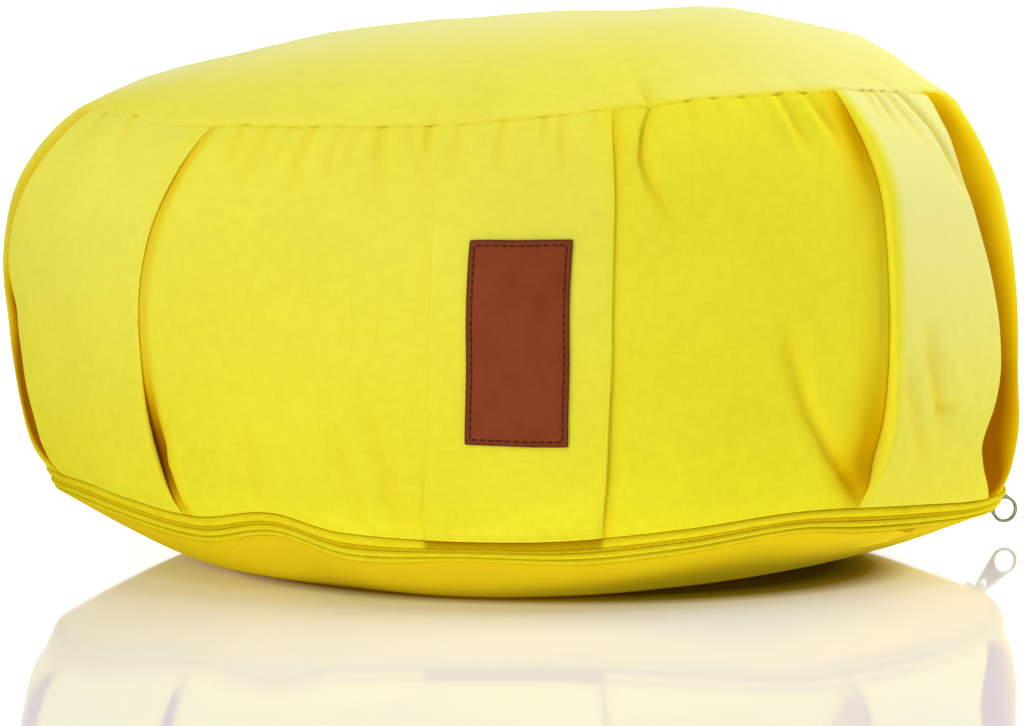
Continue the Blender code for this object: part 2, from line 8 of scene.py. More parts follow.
from __future__ import annotations

import logging
import math
from collections.abc import Sequence
from dataclasses import dataclass, field
from enum import Enum

import bmesh
import bpy
import numpy as np
from bpy.types import Curve, ID, Material, Mesh, Node, NodeSocket, NodeTree, Object
from mathutils import Matrix, Vector

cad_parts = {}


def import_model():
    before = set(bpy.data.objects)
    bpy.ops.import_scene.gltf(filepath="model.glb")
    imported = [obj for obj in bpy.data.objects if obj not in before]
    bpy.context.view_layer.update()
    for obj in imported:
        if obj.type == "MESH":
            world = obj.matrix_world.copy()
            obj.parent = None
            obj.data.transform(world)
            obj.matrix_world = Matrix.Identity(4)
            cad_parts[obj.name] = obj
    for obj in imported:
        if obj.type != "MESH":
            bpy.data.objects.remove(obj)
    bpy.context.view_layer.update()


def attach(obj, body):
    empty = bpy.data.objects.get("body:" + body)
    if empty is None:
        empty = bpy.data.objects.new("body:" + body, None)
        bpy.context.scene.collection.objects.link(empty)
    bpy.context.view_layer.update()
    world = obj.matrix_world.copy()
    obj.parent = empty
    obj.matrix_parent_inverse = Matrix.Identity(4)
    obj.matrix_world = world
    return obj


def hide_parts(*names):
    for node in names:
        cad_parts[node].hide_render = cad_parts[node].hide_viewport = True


LOG = logging.getLogger("zafu")
MM = 0.001
CLOTH_MAP = "cloth"
# Painted shade: a value at each point that darkens the cloth and the zip's tapes towards golden, then brown,
# where shade falls: in folds, creases, pockets, the seam's groove, the zip's channel and grooves, and on the
# bottom panel.
PAINTED_SHADE = "painted_shade"
EDGE_SHADE = "edge_shade"
# Painted sheen: a value at each point that pales the cloth where light grazes it and where the side lights
# fall on it.
PAINTED_SHEEN = "painted_sheen"
METAL_SHARP = 50
Values = np.ndarray | float


# ---- numbers and tables -------------------------------------------------------------------------
@dataclass(frozen=True)
class Table:
    """Named columns over a rising first column, read on a smooth curve."""

    columns: tuple[str, ...]
    rows: tuple[tuple[float, ...], ...]

    def read(self, column: str, at: Values) -> np.ndarray:
        """The values of a column at places along the first column.

        Args:
            column: The column's name.
            at: One place or many, along the first column.

        Returns:
            A value for each place.
        """
        data = np.array(self.rows, float)
        x, y = data[:, 0], data[:, self.columns.index(column)]
        slope = np.gradient(y, x)
        slope[1:-1] = (y[2:] - y[:-2]) / (x[2:] - x[:-2])
        at = np.clip(at, x[0], x[-1])
        i = np.clip(np.searchsorted(x, at, side="right") - 1, 0, len(x) - 2)
        span = x[i + 1] - x[i]
        s = (at - x[i]) / span
        return (
            y[i] * (1 + 2 * s) * (1 - s) ** 2
            + y[i + 1] * (3 - 2 * s) * s * s
            + span * (slope[i] * s * (1 - s) ** 2 - slope[i + 1] * s * s * (1 - s))
        )


def hump(offset: Values, half_width: float) -> np.ndarray:
    """1 in the middle, falling smoothly to nothing about two half-widths away."""
    return np.exp(-((np.asarray(offset) / half_width) ** 2))


def turn_between(azimuth: Values, other: Values) -> np.ndarray:
    """The shortest turn from other to azimuth, in degrees."""
    return (np.asarray(azimuth) - other + 180.0) % 360.0 - 180.0


def sideways(azimuth: float) -> Vector:
    """The direction along the cushion's side at an azimuth."""
    turn = math.radians(azimuth)
    return Vector((math.cos(turn), math.sin(turn), 0.0))


def waves(turn: np.ndarray, rows: Sequence[tuple[int, float, float]], level: float) -> np.ndarray:
    """Waves round the cushion on a level, each with its count, its phase and its size."""
    return sum((size * np.sin(count * turn + phase) for count, phase, size in rows), level)


def smooth_step(low: float, high: float, at: Values) -> np.ndarray:
    """0 below low and 1 above high, with an even run between."""
    s = np.clip((np.asarray(at) - low) / (high - low), 0.0, 1.0)
    return s * s * (3 - 2 * s)


@dataclass(frozen=True)
class Crease:
    """A soft trough (or a ridge, with a negative depth) along a path over a panel.

    Each place on the path has its azimuth in degrees, its share of the panel's height, and the
    crease's width and depth there in millimetres.
    """

    path: tuple[tuple[float, float, float, float], ...]

    def sunk(self, azimuth: np.ndarray, height: Values, degree: float, length: float) -> np.ndarray:
        """How far the crease sinks each place.

        Args:
            azimuth: Places round the cushion, in degrees.
            height: Their shares of the panel.
            degree: A degree's length round the panel, in metres.
            length: The panel's length, in metres.

        Returns:
            Metres inward for each place.
        """
        sunk = np.zeros_like(azimuth)
        for (a0, h0, w0, d0), (a1, h1, w1, d1) in zip(self.path, self.path[1:]):
            run = np.array(((a1 - a0) * degree, (h1 - h0) * length))
            across = turn_between(azimuth, a0) * degree
            up = (height - h0) * length
            along = np.clip((across * run[0] + up * run[1]) / (run @ run), 0.0, 1.0)
            away = np.hypot(across - along * run[0], up - along * run[1])
            here = (d0 + (d1 - d0) * along) * hump(away, (w0 + (w1 - w0) * along) * MM)
            sunk = np.where(np.abs(here) > np.abs(sunk), here, sunk)
        return sunk * MM


@dataclass(frozen=True)
class Ripples:
    """Low uneven waves that keep filled cloth from looking turned on a lathe."""

    seed: int
    waves: int
    shortest: float
    longest: float
    depth: float

    def at(self, points: np.ndarray) -> np.ndarray:
        """How far the ripples push the cloth out at each point.

        Args:
            points: Rows of x, y and z in metres.

        Returns:
            A distance in metres for each point.
        """
        draw = np.random.default_rng(self.seed)
        directions = draw.normal(size=(self.waves, 3))
        directions /= np.linalg.norm(directions, axis=1)[:, None]
        lengths = draw.uniform(self.shortest, self.longest, self.waves)
        phases = draw.uniform(0, 2 * math.pi, self.waves)
        turns = 2 * math.pi * (points @ directions.T) / lengths + phases
        return np.sin(turns).sum(axis=1) * self.depth / math.sqrt(self.waves)


# ---- the cover's form ---------------------------------------------------------------------------
# A pleat edge's shade column sets the painted shade in the valley beside it and under its fold.
PLEAT_COLUMNS = ("height", "azimuth", "lift", "valley", "gap", "reach", "shade")


@dataclass(frozen=True)
class Pleat:
    """A box pleat: its edges for each height, its thickness, and how proud its hem hangs.

    An edge has its azimuth, its lift, the depth of the valley beside it, the gap between the edge and
    the valley's floor, the valley's reach in degrees, and how dark its painted shade is.
    """

    left: Table
    right: Table
    rise: float = 1.4 * MM
    hem_rise: float = 0.0

    def out(self, azimuth: np.ndarray, height: Values, reach: float) -> np.ndarray:
        """How far the pleat's face stands outside the band.

        Args:
            azimuth: Places across the pleat, in degrees.
            height: The fraction of the band's height.
            reach: How many degrees into the pleat an edge's lift reaches.

        Returns:
            Metres outward for each azimuth.
        """
        out = self.rise + np.zeros_like(azimuth)
        for edge in (self.left, self.right):
            near = turn_between(azimuth, edge.read("azimuth", height))
            out += edge.read("lift", height) * hump(near, reach)
        return out


def edge(*rows: tuple[float, ...]) -> Table:
    """A pleat edge's table, with lift, valley and gap given in millimetres."""
    return Table(PLEAT_COLUMNS, tuple((h, a, lift * MM, v * MM, gap * MM, reach, shade)
                                      for h, a, lift, v, gap, reach, shade in rows))


def hidden_pleat(centre: float, half_width: float = 11.5) -> Pleat:
    """A pleat of the side that the front view doesn't show.

    Args:
        centre: The azimuth of its middle.
        half_width: Half its width at the hem, in degrees.

    Returns:
        The pleat, with both edges alike.
    """
    rows = (
        (0.0, 0.0, 0.2, 0.8, 0.4, 2.0, 0.3),
        (0.15, 0.9, 0.8, 3.2, 1.6, 2.2, 0.8),
        (0.35, 1.5, 0.8, 2.4, 0.8, 2.2, 0.5),
        (0.7, 1.6, 0.6, 1.4, 0.4, 2.0, 0.35),
        (1.0, 0.0, 0.2, 0.4, 0.3, 1.6, 0.2),
    )
    return Pleat(
        edge(*((h, centre - half_width + a, *rest) for h, a, *rest in rows)),
        edge(*((h, centre + half_width - a, *rest) for h, a, *rest in rows)),
    )


FRONT_PLEAT = Pleat(
    edge(
        (0.00, -11.4, -0.4, 0.2, 0.1, 1.4, 0.04),
        (0.22, -9.8, -0.6, 0.2, 0.1, 1.4, 0.03),
        (0.47, -8.5, -0.7, 0.2, 0.1, 1.4, 0.02),
        (0.75, -7.7, -0.7, 0.2, 0.1, 1.4, 0.02),
        (0.87, -8.2, -0.6, 0.2, 0.1, 1.4, 0.03),
        (1.00, -9.7, -0.6, 0.2, 0.1, 1.4, 0.04),
    ),
    edge(
        (0.00, 8.2, 0.3, 1.0, 0.5, 0.8, 0.22),
        (0.21, 9.2, 0.3, 1.0, 0.5, 0.8, 0.22),
        (0.44, 10.3, 0.2, 0.7, 0.3, 0.8, 0.14),
        (0.70, 11.3, 0.2, 0.6, 0.3, 0.8, 0.14),
        (0.90, 11.7, 0.3, 0.9, 0.5, 0.8, 0.24),
        (1.00, 11.7, 0.2, 0.6, 0.4, 0.8, 0.20),
    ),
    rise=1.2 * MM,
    hem_rise=2.2 * MM,
)
LEFT_PLEAT = Pleat(
    edge(
        (0.00, -69.6, 0.2, 0.8, 0.4, 2.0, 0.40),
        (0.11, -69.8, 0.8, 6.0, 4.0, 6.0, 2.60),
        (0.25, -70.6, 1.0, 8.0, 5.0, 7.0, 2.30),
        (0.40, -70.0, 1.0, 6.0, 3.0, 6.0, 1.60),
        (0.47, -69.4, 1.0, 5.0, 3.0, 6.0, 1.60),
        (0.58, -71.8, 0.6, 2.6, 1.0, 5.0, 0.60),
        (0.70, -71.6, 0.5, 2.0, 0.6, 5.0, 0.45),
        (0.90, -71.0, 0.4, 1.4, 0.5, 4.0, 0.40),
        (1.00, -72.4, 0.2, 0.5, 0.3, 4.0, 0.20),
    ),
    edge(
        (0.00, -42.1, 0.1, 0.8, 0.4, 1.2, 0.30),
        (0.08, -42.9, 0.4, 2.6, 1.4, 1.5, 0.85),
        (0.17, -43.5, 0.6, 3.6, 2.0, 1.7, 0.95),
        (0.27, -43.7, 0.4, 2.4, 1.2, 1.4, 0.70),
        (0.36, -43.6, 0.2, 1.0, 0.3, 1.2, 0.36),
        (0.48, -43.4, 0.1, 0.6, 0.2, 1.1, 0.25),
        (0.66, -42.7, 0.1, 0.6, 0.2, 1.1, 0.25),
        (0.85, -41.1, 0.1, 0.7, 0.3, 1.1, 0.30),
        (0.95, -40.5, 0.1, 0.6, 0.3, 1.0, 0.30),
        (1.00, -40.9, 0.0, 0.3, 0.2, 1.0, 0.20),
    ),
    rise=1.0 * MM,
)
RIGHT_PLEAT = Pleat(
    edge(
        (0.00, 40.1, 0.2, 0.6, 0.1, 2.0, 0.20),
        (0.05, 41.4, 0.5, 2.8, 0.1, 3.6, 0.52),
        (0.12, 42.9, 0.8, 5.0, 0.1, 4.6, 0.54),
        (0.20, 44.0, 0.9, 4.0, 0.1, 4.4, 0.46),
        (0.30, 44.3, 0.9, 2.4, 0.1, 4.0, 0.30),
        (0.40, 44.4, 0.9, 1.8, 0.1, 4.0, 0.17),
        (0.55, 44.9, 0.9, 1.6, 0.1, 4.0, 0.13),
        (0.70, 45.4, 0.9, 1.8, 0.1, 4.2, 0.20),
        (0.85, 45.0, 0.9, 2.8, 0.1, 3.2, 0.50),
        (0.95, 43.9, 0.6, 2.2, 0.1, 2.6, 0.50),
        (1.00, 43.5, 0.2, 0.6, 0.1, 2.0, 0.30),
    ),
    edge(
        (0.00, 68.2, 0.4, 1.2, 0.6, 5.0, 0.80),
        (0.03, 66.2, 0.8, 5.0, 3.0, 8.0, 1.35),
        (0.09, 62.8, 1.0, 9.0, 6.0, 12.0, 1.40),
        (0.15, 61.8, 1.2, 11.0, 8.0, 13.0, 1.40),
        (0.24, 65.2, 1.4, 10.0, 7.0, 12.0, 1.35),
        (0.32, 67.1, 1.4, 9.0, 6.0, 11.0, 1.25),
        (0.41, 66.9, 1.4, 8.0, 5.0, 10.0, 1.15),
        (0.55, 65.2, 1.3, 7.0, 4.0, 10.0, 1.05),
        (0.70, 62.9, 1.2, 6.0, 3.5, 10.0, 0.95),
        (0.80, 61.8, 1.0, 5.0, 3.0, 12.0, 0.80),
        (0.93, 63.2, 0.8, 3.4, 2.0, 10.0, 0.80),
        (1.00, 64.8, 0.4, 0.8, 0.5, 7.0, 0.50),
    ),
)
# Each place on a crease's path: its azimuth, its height, then the crease's width and depth there.
BAND_CREASES = (
    ((-67.0, 1.00, 2.2, 1.4), (-60.0, 0.90, 3.2, 0.0)),
    ((-57.5, 1.00, 2.2, 1.4), (-50.0, 0.89, 3.2, 0.0)),
    ((-41.0, 0.22, 1.6, 0.0), (-40.8, 0.14, 1.9, -2.7), (-40.3, 0.04, 1.6, -1.4)),
    ((-36.0, 1.00, 2.0, 1.6), (-34.4, 0.95, 2.6, 1.4), (-32.4, 0.88, 3.2, 0.0)),
    ((-31.9, 1.00, 1.8, 1.2), (-31.0, 0.93, 2.6, 1.2), (-29.8, 0.84, 3.6, 0.0)),
    ((-28.6, 1.00, 1.5, 0.9), (-28.0, 0.94, 2.0, 0.8), (-27.4, 0.88, 2.8, 0.0)),
    ((-25.6, 1.00, 1.8, 1.7), (-24.9, 0.93, 2.6, 1.6), (-24.2, 0.82, 3.8, 0.0)),
    ((-21.8, 1.00, 1.6, 1.0), (-21.0, 0.94, 2.2, 1.0), (-20.2, 0.86, 3.0, 0.0)),
    ((-19.2, 1.00, 1.4, 0.7), (-18.8, 0.93, 2.0, 0.6), (-18.4, 0.88, 2.6, 0.0)),
    ((-16.7, 1.00, 1.9, 1.9), (-15.4, 0.94, 2.6, 1.7), (-13.4, 0.84, 3.6, 0.0)),
    ((-13.2, 1.00, 1.2, 1.0), (-11.4, 0.95, 1.4, 1.0), (-9.2, 0.87, 1.8, 0.0)),
    ((-10.6, 1.00, 1.4, 2.0), (-10.0, 0.965, 1.8, 2.0), (-9.2, 0.92, 2.2, 0.0)),
    ((-6.8, 1.00, 1.6, 0.8), (-6.2, 0.93, 2.4, 0.7), (-5.6, 0.85, 3.2, 0.0)),
    ((-1.6, 1.00, 1.5, 1.2), (-1.2, 0.93, 2.2, 1.1), (-0.9, 0.86, 3.0, 0.0)),
    ((3.5, 1.00, 1.2, 1.6), (3.7, 0.96, 1.6, 1.2), (3.9, 0.92, 2.0, 0.0)),
    ((5.6, 1.00, 1.4, 0.8), (5.8, 0.94, 2.4, 1.6), (6.2, 0.84, 3.4, 0.0)),
    ((9.6, 1.00, 1.6, 0.8), (9.8, 0.90, 2.4, 0.0)),
    ((14.4, 0.99, 3.0, 0.0), (13.8, 0.92, 3.4, -1.7), (13.2, 0.82, 4.0, 0.0)),
    ((16.9, 1.00, 1.6, 2.4), (15.6, 0.93, 1.8, 3.6), (15.2, 0.88, 2.0, 3.6), (15.9, 0.82, 2.3, 2.6),
     (17.6, 0.74, 2.8, 1.1), (18.6, 0.68, 3.4, 0.0)),
    ((18.6, 0.97, 3.0, 0.0), (17.6, 0.90, 3.2, -1.4), (18.0, 0.82, 4.0, 0.0)),
    ((21.5, 1.00, 1.6, 1.4), (21.2, 0.90, 2.4, 0.0)),
    ((25.0, 1.00, 1.6, 1.4), (25.9, 0.90, 2.6, 0.0)),
    ((29.0, 1.00, 1.6, 1.2), (30.0, 0.91, 2.6, 0.0)),
    ((32.3, 1.00, 1.6, -1.5), (33.1, 0.93, 1.8, -2.1), (34.1, 0.84, 2.2, 0.0)),
    ((34.3, 1.00, 2.2, 1.8), (35.2, 0.92, 2.4, 2.0), (36.8, 0.82, 3.0, 0.0)),
    ((36.3, 1.00, 2.0, -1.2), (37.4, 0.93, 2.4, -1.8), (39.2, 0.84, 3.0, 0.0)),
    ((38.5, 1.00, 2.0, 1.8), (39.4, 0.94, 2.2, 2.1), (41.0, 0.85, 3.0, 0.0)),
    ((29.6, 0.50, 4.0, 0.0), (30.6, 0.38, 4.0, 2.0), (32.5, 0.24, 3.8, 2.8), (35.4, 0.135, 3.4, 3.4),
     (38.0, 0.075, 3.0, 3.3), (40.0, 0.03, 2.6, 1.2)),
    ((46.2, 0.40, 4.0, 0.0), (46.9, 0.30, 4.3, 1.6), (48.8, 0.14, 4.3, 1.0), (49.6, 0.06, 3.8, 0.0)),
    ((49.2, 1.00, 1.3, 1.8), (48.5, 0.92, 1.8, 0.0)),
    ((51.2, 1.00, 1.4, 2.0), (51.5, 0.95, 1.7, 2.0), (51.9, 0.89, 2.2, 0.0)),
    ((53.6, 1.00, 1.5, 1.7), (54.8, 0.94, 1.9, 1.7), (56.2, 0.86, 2.4, 0.0)),
    ((56.8, 1.00, 1.5, 2.7), (59.1, 0.925, 1.8, 3.3), (60.1, 0.84, 1.9, 2.4), (61.2, 0.74, 2.4, 0.0)),
    ((50.4, 0.46, 4.4, 0.0), (51.2, 0.36, 4.6, 1.9), (53.0, 0.23, 4.6, 1.6), (54.0, 0.13, 4.2, 0.0)),
    ((53.6, 0.42, 4.0, 0.0), (55.4, 0.31, 4.2, -1.3), (58.4, 0.20, 4.0, -1.0), (60.0, 0.12, 3.8, 0.0)),
    ((50.4, 0.19, 2.0, 0.0), (52.6, 0.235, 2.5, 1.0), (56.0, 0.245, 2.5, 1.2), (60.6, 0.15, 2.2, 0.0)),
    ((-31.0, 0.30, 4.0, 0.0), (-30.6, 0.18, 4.0, 1.2), (-30.2, 0.05, 3.0, 0.7), (-30.1, 0.01, 2.4, 0.0)),
    ((-20.4, 0.30, 3.6, 0.0), (-19.2, 0.20, 3.6, 1.3), (-18.4, 0.08, 3.0, 1.0), (-18.2, 0.01, 2.4, 0.0)),
    ((-16.4, 0.42, 4.0, 0.0), (-15.2, 0.28, 4.0, 1.2), (-14.2, 0.12, 3.4, 1.5), (-13.8, 0.02, 2.6, 0.3)),
    ((86.0, -0.10, 30.0, 2.2), (86.0, 0.20, 30.0, 1.0), (86.0, 0.45, 28.0, 0.5), (86.0, 0.90, 22.0, 0.0)),
)
BELLY_CREASES = (
    ((50.6, 1.05, 2.4, -1.4), (49.6, 0.85, 3.0, -2.0), (48.2, 0.60, 3.4, 0.0)),
    ((27.5, 1.05, 1.8, 0.8), (29.0, 0.80, 2.4, 0.0)),
    ((-36.0, 1.05, 2.4, 1.0), (-38.0, 0.70, 4.0, 0.0)),
)
CROWN_CREASES = (
    ((16.6, 1.02, 1.8, 1.6), (17.0, 0.94, 2.2, 1.4), (17.8, 0.84, 3.0, 0.0)),
    ((10.0, 0.80, 3.0, 0.0), (12.6, 0.90, 3.4, -1.0), (15.4, 1.00, 2.6, -0.4)),
    ((-11.0, 1.02, 1.6, 0.8), (-11.0, 0.92, 2.4, 0.0)),
    ((33.0, 1.02, 2.0, 0.8), (31.0, 0.88, 4.0, 0.0)),
    ((39.5, 1.02, 2.0, 0.9), (38.0, 0.88, 4.0, 0.0)),
    ((57.0, 1.02, 2.0, 0.9), (54.0, 0.88, 4.0, 0.0)),
)


@dataclass(frozen=True)
class CoverForm:
    """The filled cover's surface: where any place on its panels lies."""

    top_seam_radius: float = 0.1545
    top_shift_x: float = 0.0014
    hem_radius: float = 0.1714
    lower_seam_radius: float = 0.1672
    lower_shift_x: float = 0.0051
    band_length: float = 0.150
    crown_power: float = 2.6
    zip_start: float = -114.0
    zip_end: float = 114.0
    hem_step: float = 1.8 * MM
    lower_step: float = 1.2 * MM
    fold_thickness: float = 0.5 * MM
    undercut: float = 8.0 * MM
    edge_round: float = 1.4 * MM
    lift_width: float = 5.0
    groove_depth: float = 1.05 * MM
    groove_width: float = 0.9 * MM
    seam_waver: float = 0.35 * MM
    seam_freedom: float = 0.35
    freedom_rise: float = 6.5
    hem_hold: float = 0.06
    seam_hold: float = 0.05
    crown_hold: float = 0.08
    plain_seam: float = 0.3
    zip_fade: float = 8.0
    seam_lap: float = 0.2 * MM
    pleats: tuple[Pleat, ...] = (
        hidden_pleat(-122.0), LEFT_PLEAT, FRONT_PLEAT, RIGHT_PLEAT, hidden_pleat(120.0),
        hidden_pleat(180.0),
    )
    band: Table = Table(
        ("height", "radius", "shift_x"),
        ((0.00, 0.1714, 0.0051), (0.05, 0.1746, 0.0041), (0.15, 0.1773, 0.0032), (0.28, 0.1788, 0.0017),
         (0.42, 0.1797, 0.0004), (0.55, 0.1797, -0.0012), (0.68, 0.1776, -0.0019),
         (0.78, 0.1743, -0.0017), (0.88, 0.1680, -0.0012), (0.95, 0.1612, -0.0002),
         (1.00, 0.1545, 0.0014)),
    )
    top_seam: Table = Table(
        ("azimuth", "z"),
        ((-180, 0.1600), (-90, 0.1590), (-58, 0.1585), (-50, 0.1565), (-30, 0.1575), (-15, 0.1578),
         (0, 0.1603), (22, 0.1660), (43, 0.1685), (62, 0.1667), (90, 0.1630), (180, 0.1600)),
    )
    hem: Table = Table(
        ("azimuth", "z"),
        ((-180, 0.0280), (-120, 0.0305), (-90, 0.0330), (-63, 0.0335), (-52, 0.0304), (-40, 0.0271),
         (-30, 0.0302), (-21, 0.0249), (0, 0.0230), (16, 0.0260), (32, 0.0302), (50, 0.0286),
         (67, 0.0258), (100, 0.0250), (180, 0.0280)),
    )
    lower_seam: Table = Table(
        ("azimuth", "z"),
        ((-180, 0.0250), (-130, 0.0262), (-110, 0.0240), (-70, 0.0255), (-56, 0.0228), (-40, 0.0182),
         (-30, 0.0222), (-20, 0.0151), (-7, 0.0162), (6, 0.0149), (17, 0.0175), (32, 0.0227),
         (42, 0.0208), (60, 0.0195), (110, 0.0180), (130, 0.0225), (180, 0.0250)),
    )
    belly: Table = Table(
        ("azimuth", "resting_radius", "power"),
        ((-180, 0.118, 1.22), (-60, 0.117, 1.17), (-30, 0.121, 1.20), (-8, 0.134, 1.20), (8, 0.129, 1.20),
         (25, 0.117, 1.20), (50, 0.108, 1.20), (90, 0.110, 1.20), (180, 0.118, 1.22)),
    )
    crown: Table = Table(
        ("x", "z"),
        ((-0.1531, 0.1590), (-0.1380, 0.1662), (-0.1167, 0.1729), (-0.0847, 0.1808), (-0.0420, 0.1879),
         (0.0000, 0.1911), (0.0434, 0.1933), (0.0754, 0.1943), (0.0968, 0.1903), (0.1181, 0.1854),
         (0.1288, 0.1819), (0.1395, 0.1742), (0.1559, 0.1630)),
    )
    band_creases: tuple[Crease, ...] = tuple(Crease(path) for path in BAND_CREASES)
    belly_creases: tuple[Crease, ...] = tuple(Crease(path) for path in BELLY_CREASES)
    crown_creases: tuple[Crease, ...] = tuple(Crease(path) for path in CROWN_CREASES)
    ripples: tuple[Ripples, ...] = (
        Ripples(seed=11, waves=28, shortest=0.045, longest=0.11, depth=0.55 * MM),
        Ripples(seed=12, waves=36, shortest=0.016, longest=0.034, depth=0.10 * MM),
    )

    def degrees_of(self, length: Values, height: Values) -> np.ndarray:
        """The turn, in degrees, that a length round the band takes at a height."""
        return np.degrees(length / self.band.read("radius", height))

    def freedom(self, height: float) -> float:
        """How free the folds are at a height: low by the seams that hold them, 1 inside the band."""
        return min(1.0, self.seam_freedom + self.freedom_rise * min(height, 1.0 - height))

    @staticmethod
    def creased(creases: Sequence[Crease], azimuth: np.ndarray, height: Values,
                radius: float, length: float) -> np.ndarray:
        """How far creases sink a panel.

        Args:
            creases: The panel's creases.
            azimuth: Places round the panel, in degrees.
            height: Their shares of the panel.
            radius: The panel's radius, in metres.
            length: The panel's length, in metres.

        Returns:
            Metres inward for each azimuth.
        """
        depth = np.zeros_like(azimuth)
        for crease in creases:
            depth += crease.sunk(azimuth, height, math.radians(radius), length)
        return depth

    def seam_height(self, azimuth: np.ndarray) -> np.ndarray:
        """How high the top seam lies, in metres, with its small waver."""
        waver = waves(np.radians(azimuth), ((17, 0.4, 1.0), (31, 1.9, 1.0), (53, 4.0, 0.6)), 0.0)
        return self.top_seam.read("z", turn_between(azimuth, 0.0)) + self.seam_waver * waver / 2

    @staticmethod
    def seam_pull(azimuth: np.ndarray) -> np.ndarray:
        """How strongly the top seam's thread draws the cloth in: unevenly, and least at the left."""
        uneven = waves(np.radians(azimuth), ((23, 1.0, 0.15), (61, 0.3, 0.06)), 1.0)
        return uneven * (0.2 + 0.8 * smooth_step(-54.0, -38.0, turn_between(azimuth, 0.0)))

    def band_sunk(self, azimuth: np.ndarray, height: Values) -> np.ndarray:
        """How far the band's creases sink it, in metres."""
        return self.creased(self.band_creases, azimuth, height, self.hem_radius, self.band_length)

    def crown_sunk(self, azimuth: np.ndarray, share: float) -> np.ndarray:
        """How far the top panel's creases sink it, in metres."""
        return self.creased(self.crown_creases, azimuth, share, self.top_seam_radius, self.top_seam_radius)

    def band_points(self, azimuth: np.ndarray, height: Values, out: Values) -> np.ndarray:
        """Points on the band.

        Args:
            azimuth: Places round the band, in degrees.
            height: The fraction of the band's height.
            out: How far outside the plain band each point lies, in metres.

        Returns:
            Rows of x, y and z.
        """
        low = self.hem.read("z", turn_between(azimuth, 0.0))
        high = self.seam_height(azimuth)
        radius = self.band.read("radius", height) + out - self.band_sunk(azimuth, height)
        z = low + (high - low) * height
        shift = self.band.read("shift_x", height)
        points = self.polar(azimuth, radius, z, shift)
        held = smooth_step(0.0, self.hem_hold, height)
        held = held * smooth_step(0.0, self.seam_hold, 1.0 - np.asarray(height))
        return self.polar(azimuth, radius + held * self.rippled(points), z, shift)

    def rippled(self, points: np.ndarray) -> np.ndarray:
        """How far all the ripples push the cloth out at each point."""
        return sum(ripple.at(points) for ripple in self.ripples)

    @staticmethod
    def polar(azimuth: np.ndarray, radius: Values, z: Values, shift_x: Values) -> np.ndarray:
        """Points round an axis that is shifted along X.

        Args:
            azimuth: Places round the axis, in degrees.
            radius: Their distance from it.
            z: Their height.
            shift_x: How far the axis is shifted.

        Returns:
            Rows of x, y and z.
        """
        direction = np.radians(azimuth)
        x = shift_x + radius * np.sin(direction)
        return np.stack((x, -radius * np.cos(direction), z + 0.0 * direction), axis=1)

    def zip_here(self, azimuth: np.ndarray) -> np.ndarray:
        """1 along the zip and 0 where the lower seam is plain, with a short run between."""
        turn = turn_between(azimuth, 0.0)
        return np.clip(np.minimum(turn - self.zip_start, self.zip_end - turn) / self.zip_fade + 1.0, 0, 1)

    def channel(self, azimuth: np.ndarray, share: float, out: float = 0.0) -> np.ndarray:
        """Points on the floor of the channel that holds the zip, or in front of it.

        Args:
            azimuth: Places round the cushion, in degrees.
            share: 0 under the band's hem and 1 over the bottom panel.
            out: How far in front of the floor, in metres.

        Returns:
            Rows of x, y and z.
        """
        turn = turn_between(azimuth, 0.0)
        deep = self.plain_seam + (1 - self.plain_seam) * self.zip_here(azimuth)
        top = np.stack((self.hem_radius - self.hem_step * deep,
                        self.hem.read("z", turn) - self.seam_lap))
        low = np.stack((self.lower_seam_radius - self.lower_step * deep,
                        self.lower_seam.read("z", turn) + self.seam_lap))
        slope = low - top
        outward = np.stack((-slope[1], slope[0])) / np.hypot(*slope)
        place = top + slope * share + outward * out
        return self.polar(azimuth, place[0], place[1], self.lower_shift_x)

    def belly_points(self, azimuth: np.ndarray, share: float) -> np.ndarray:
        """Points on the bottom panel.

        Args:
            azimuth: Places round the panel, in degrees.
            share: 1 at its seam and 0 at the resting spot's rim.

        Returns:
            Rows of x, y and z.
        """
        turn = turn_between(azimuth, 0.0)
        resting = self.belly.read("resting_radius", turn)
        radius = resting + (self.lower_seam_radius - resting) * share
        power = self.belly.read("power", turn)
        z = self.lower_seam.read("z", turn) * share**power
        points = self.polar(azimuth, radius, z, self.lower_shift_x)
        free = math.sin(math.pi * min(share, 1.0)) if share > 0 else 0.0
        length = self.lower_seam_radius - float(self.belly.read("resting_radius", 0.0))
        sunk = self.creased(self.belly_creases, azimuth, share, self.lower_seam_radius, length)
        outward = np.stack((np.sin(np.radians(azimuth)), -np.cos(np.radians(azimuth)), -1 + 0 * azimuth), 1)
        points += np.array((0, 0, 0.5)) * (free * self.rippled(points))[:, None]
        return points - outward * (sunk * min(1.0, share * 3) / math.sqrt(2))[:, None]

    def crown_points(self, azimuth: np.ndarray, share: float) -> np.ndarray:
        """Points on the top panel.

        Args:
            azimuth: Places round the panel, in degrees.
            share: 1 at its seam and 0 in the middle.

        Returns:
            Rows of x, y and z.
        """
        direction = np.radians(azimuth)
        radius = self.top_seam_radius * share
        x = self.top_shift_x + radius * np.sin(direction)
        reach = np.sqrt(np.maximum(1.0 - (share * np.sin(direction)) ** 2, 1e-12))
        fall = np.minimum(np.abs(share * np.cos(direction)) / reach, 1.0) ** self.crown_power
        seam = self.seam_height(azimuth)
        rim = seam * share**2 + float(self.top_seam.read("z", 0.0)) * (1.0 - share**2)
        ridge = self.crown.read("z", x)
        height = np.maximum(rim + (ridge - rim) * (1.0 - fall), rim)
        points = np.stack((x, -radius * np.cos(direction), height), axis=1)
        held = float(smooth_step(0.0, self.crown_hold, 1.0 - share))
        points[:, 2] += held * self.rippled(points)
        points[:, 2] -= self.crown_sunk(azimuth, share)
        return points


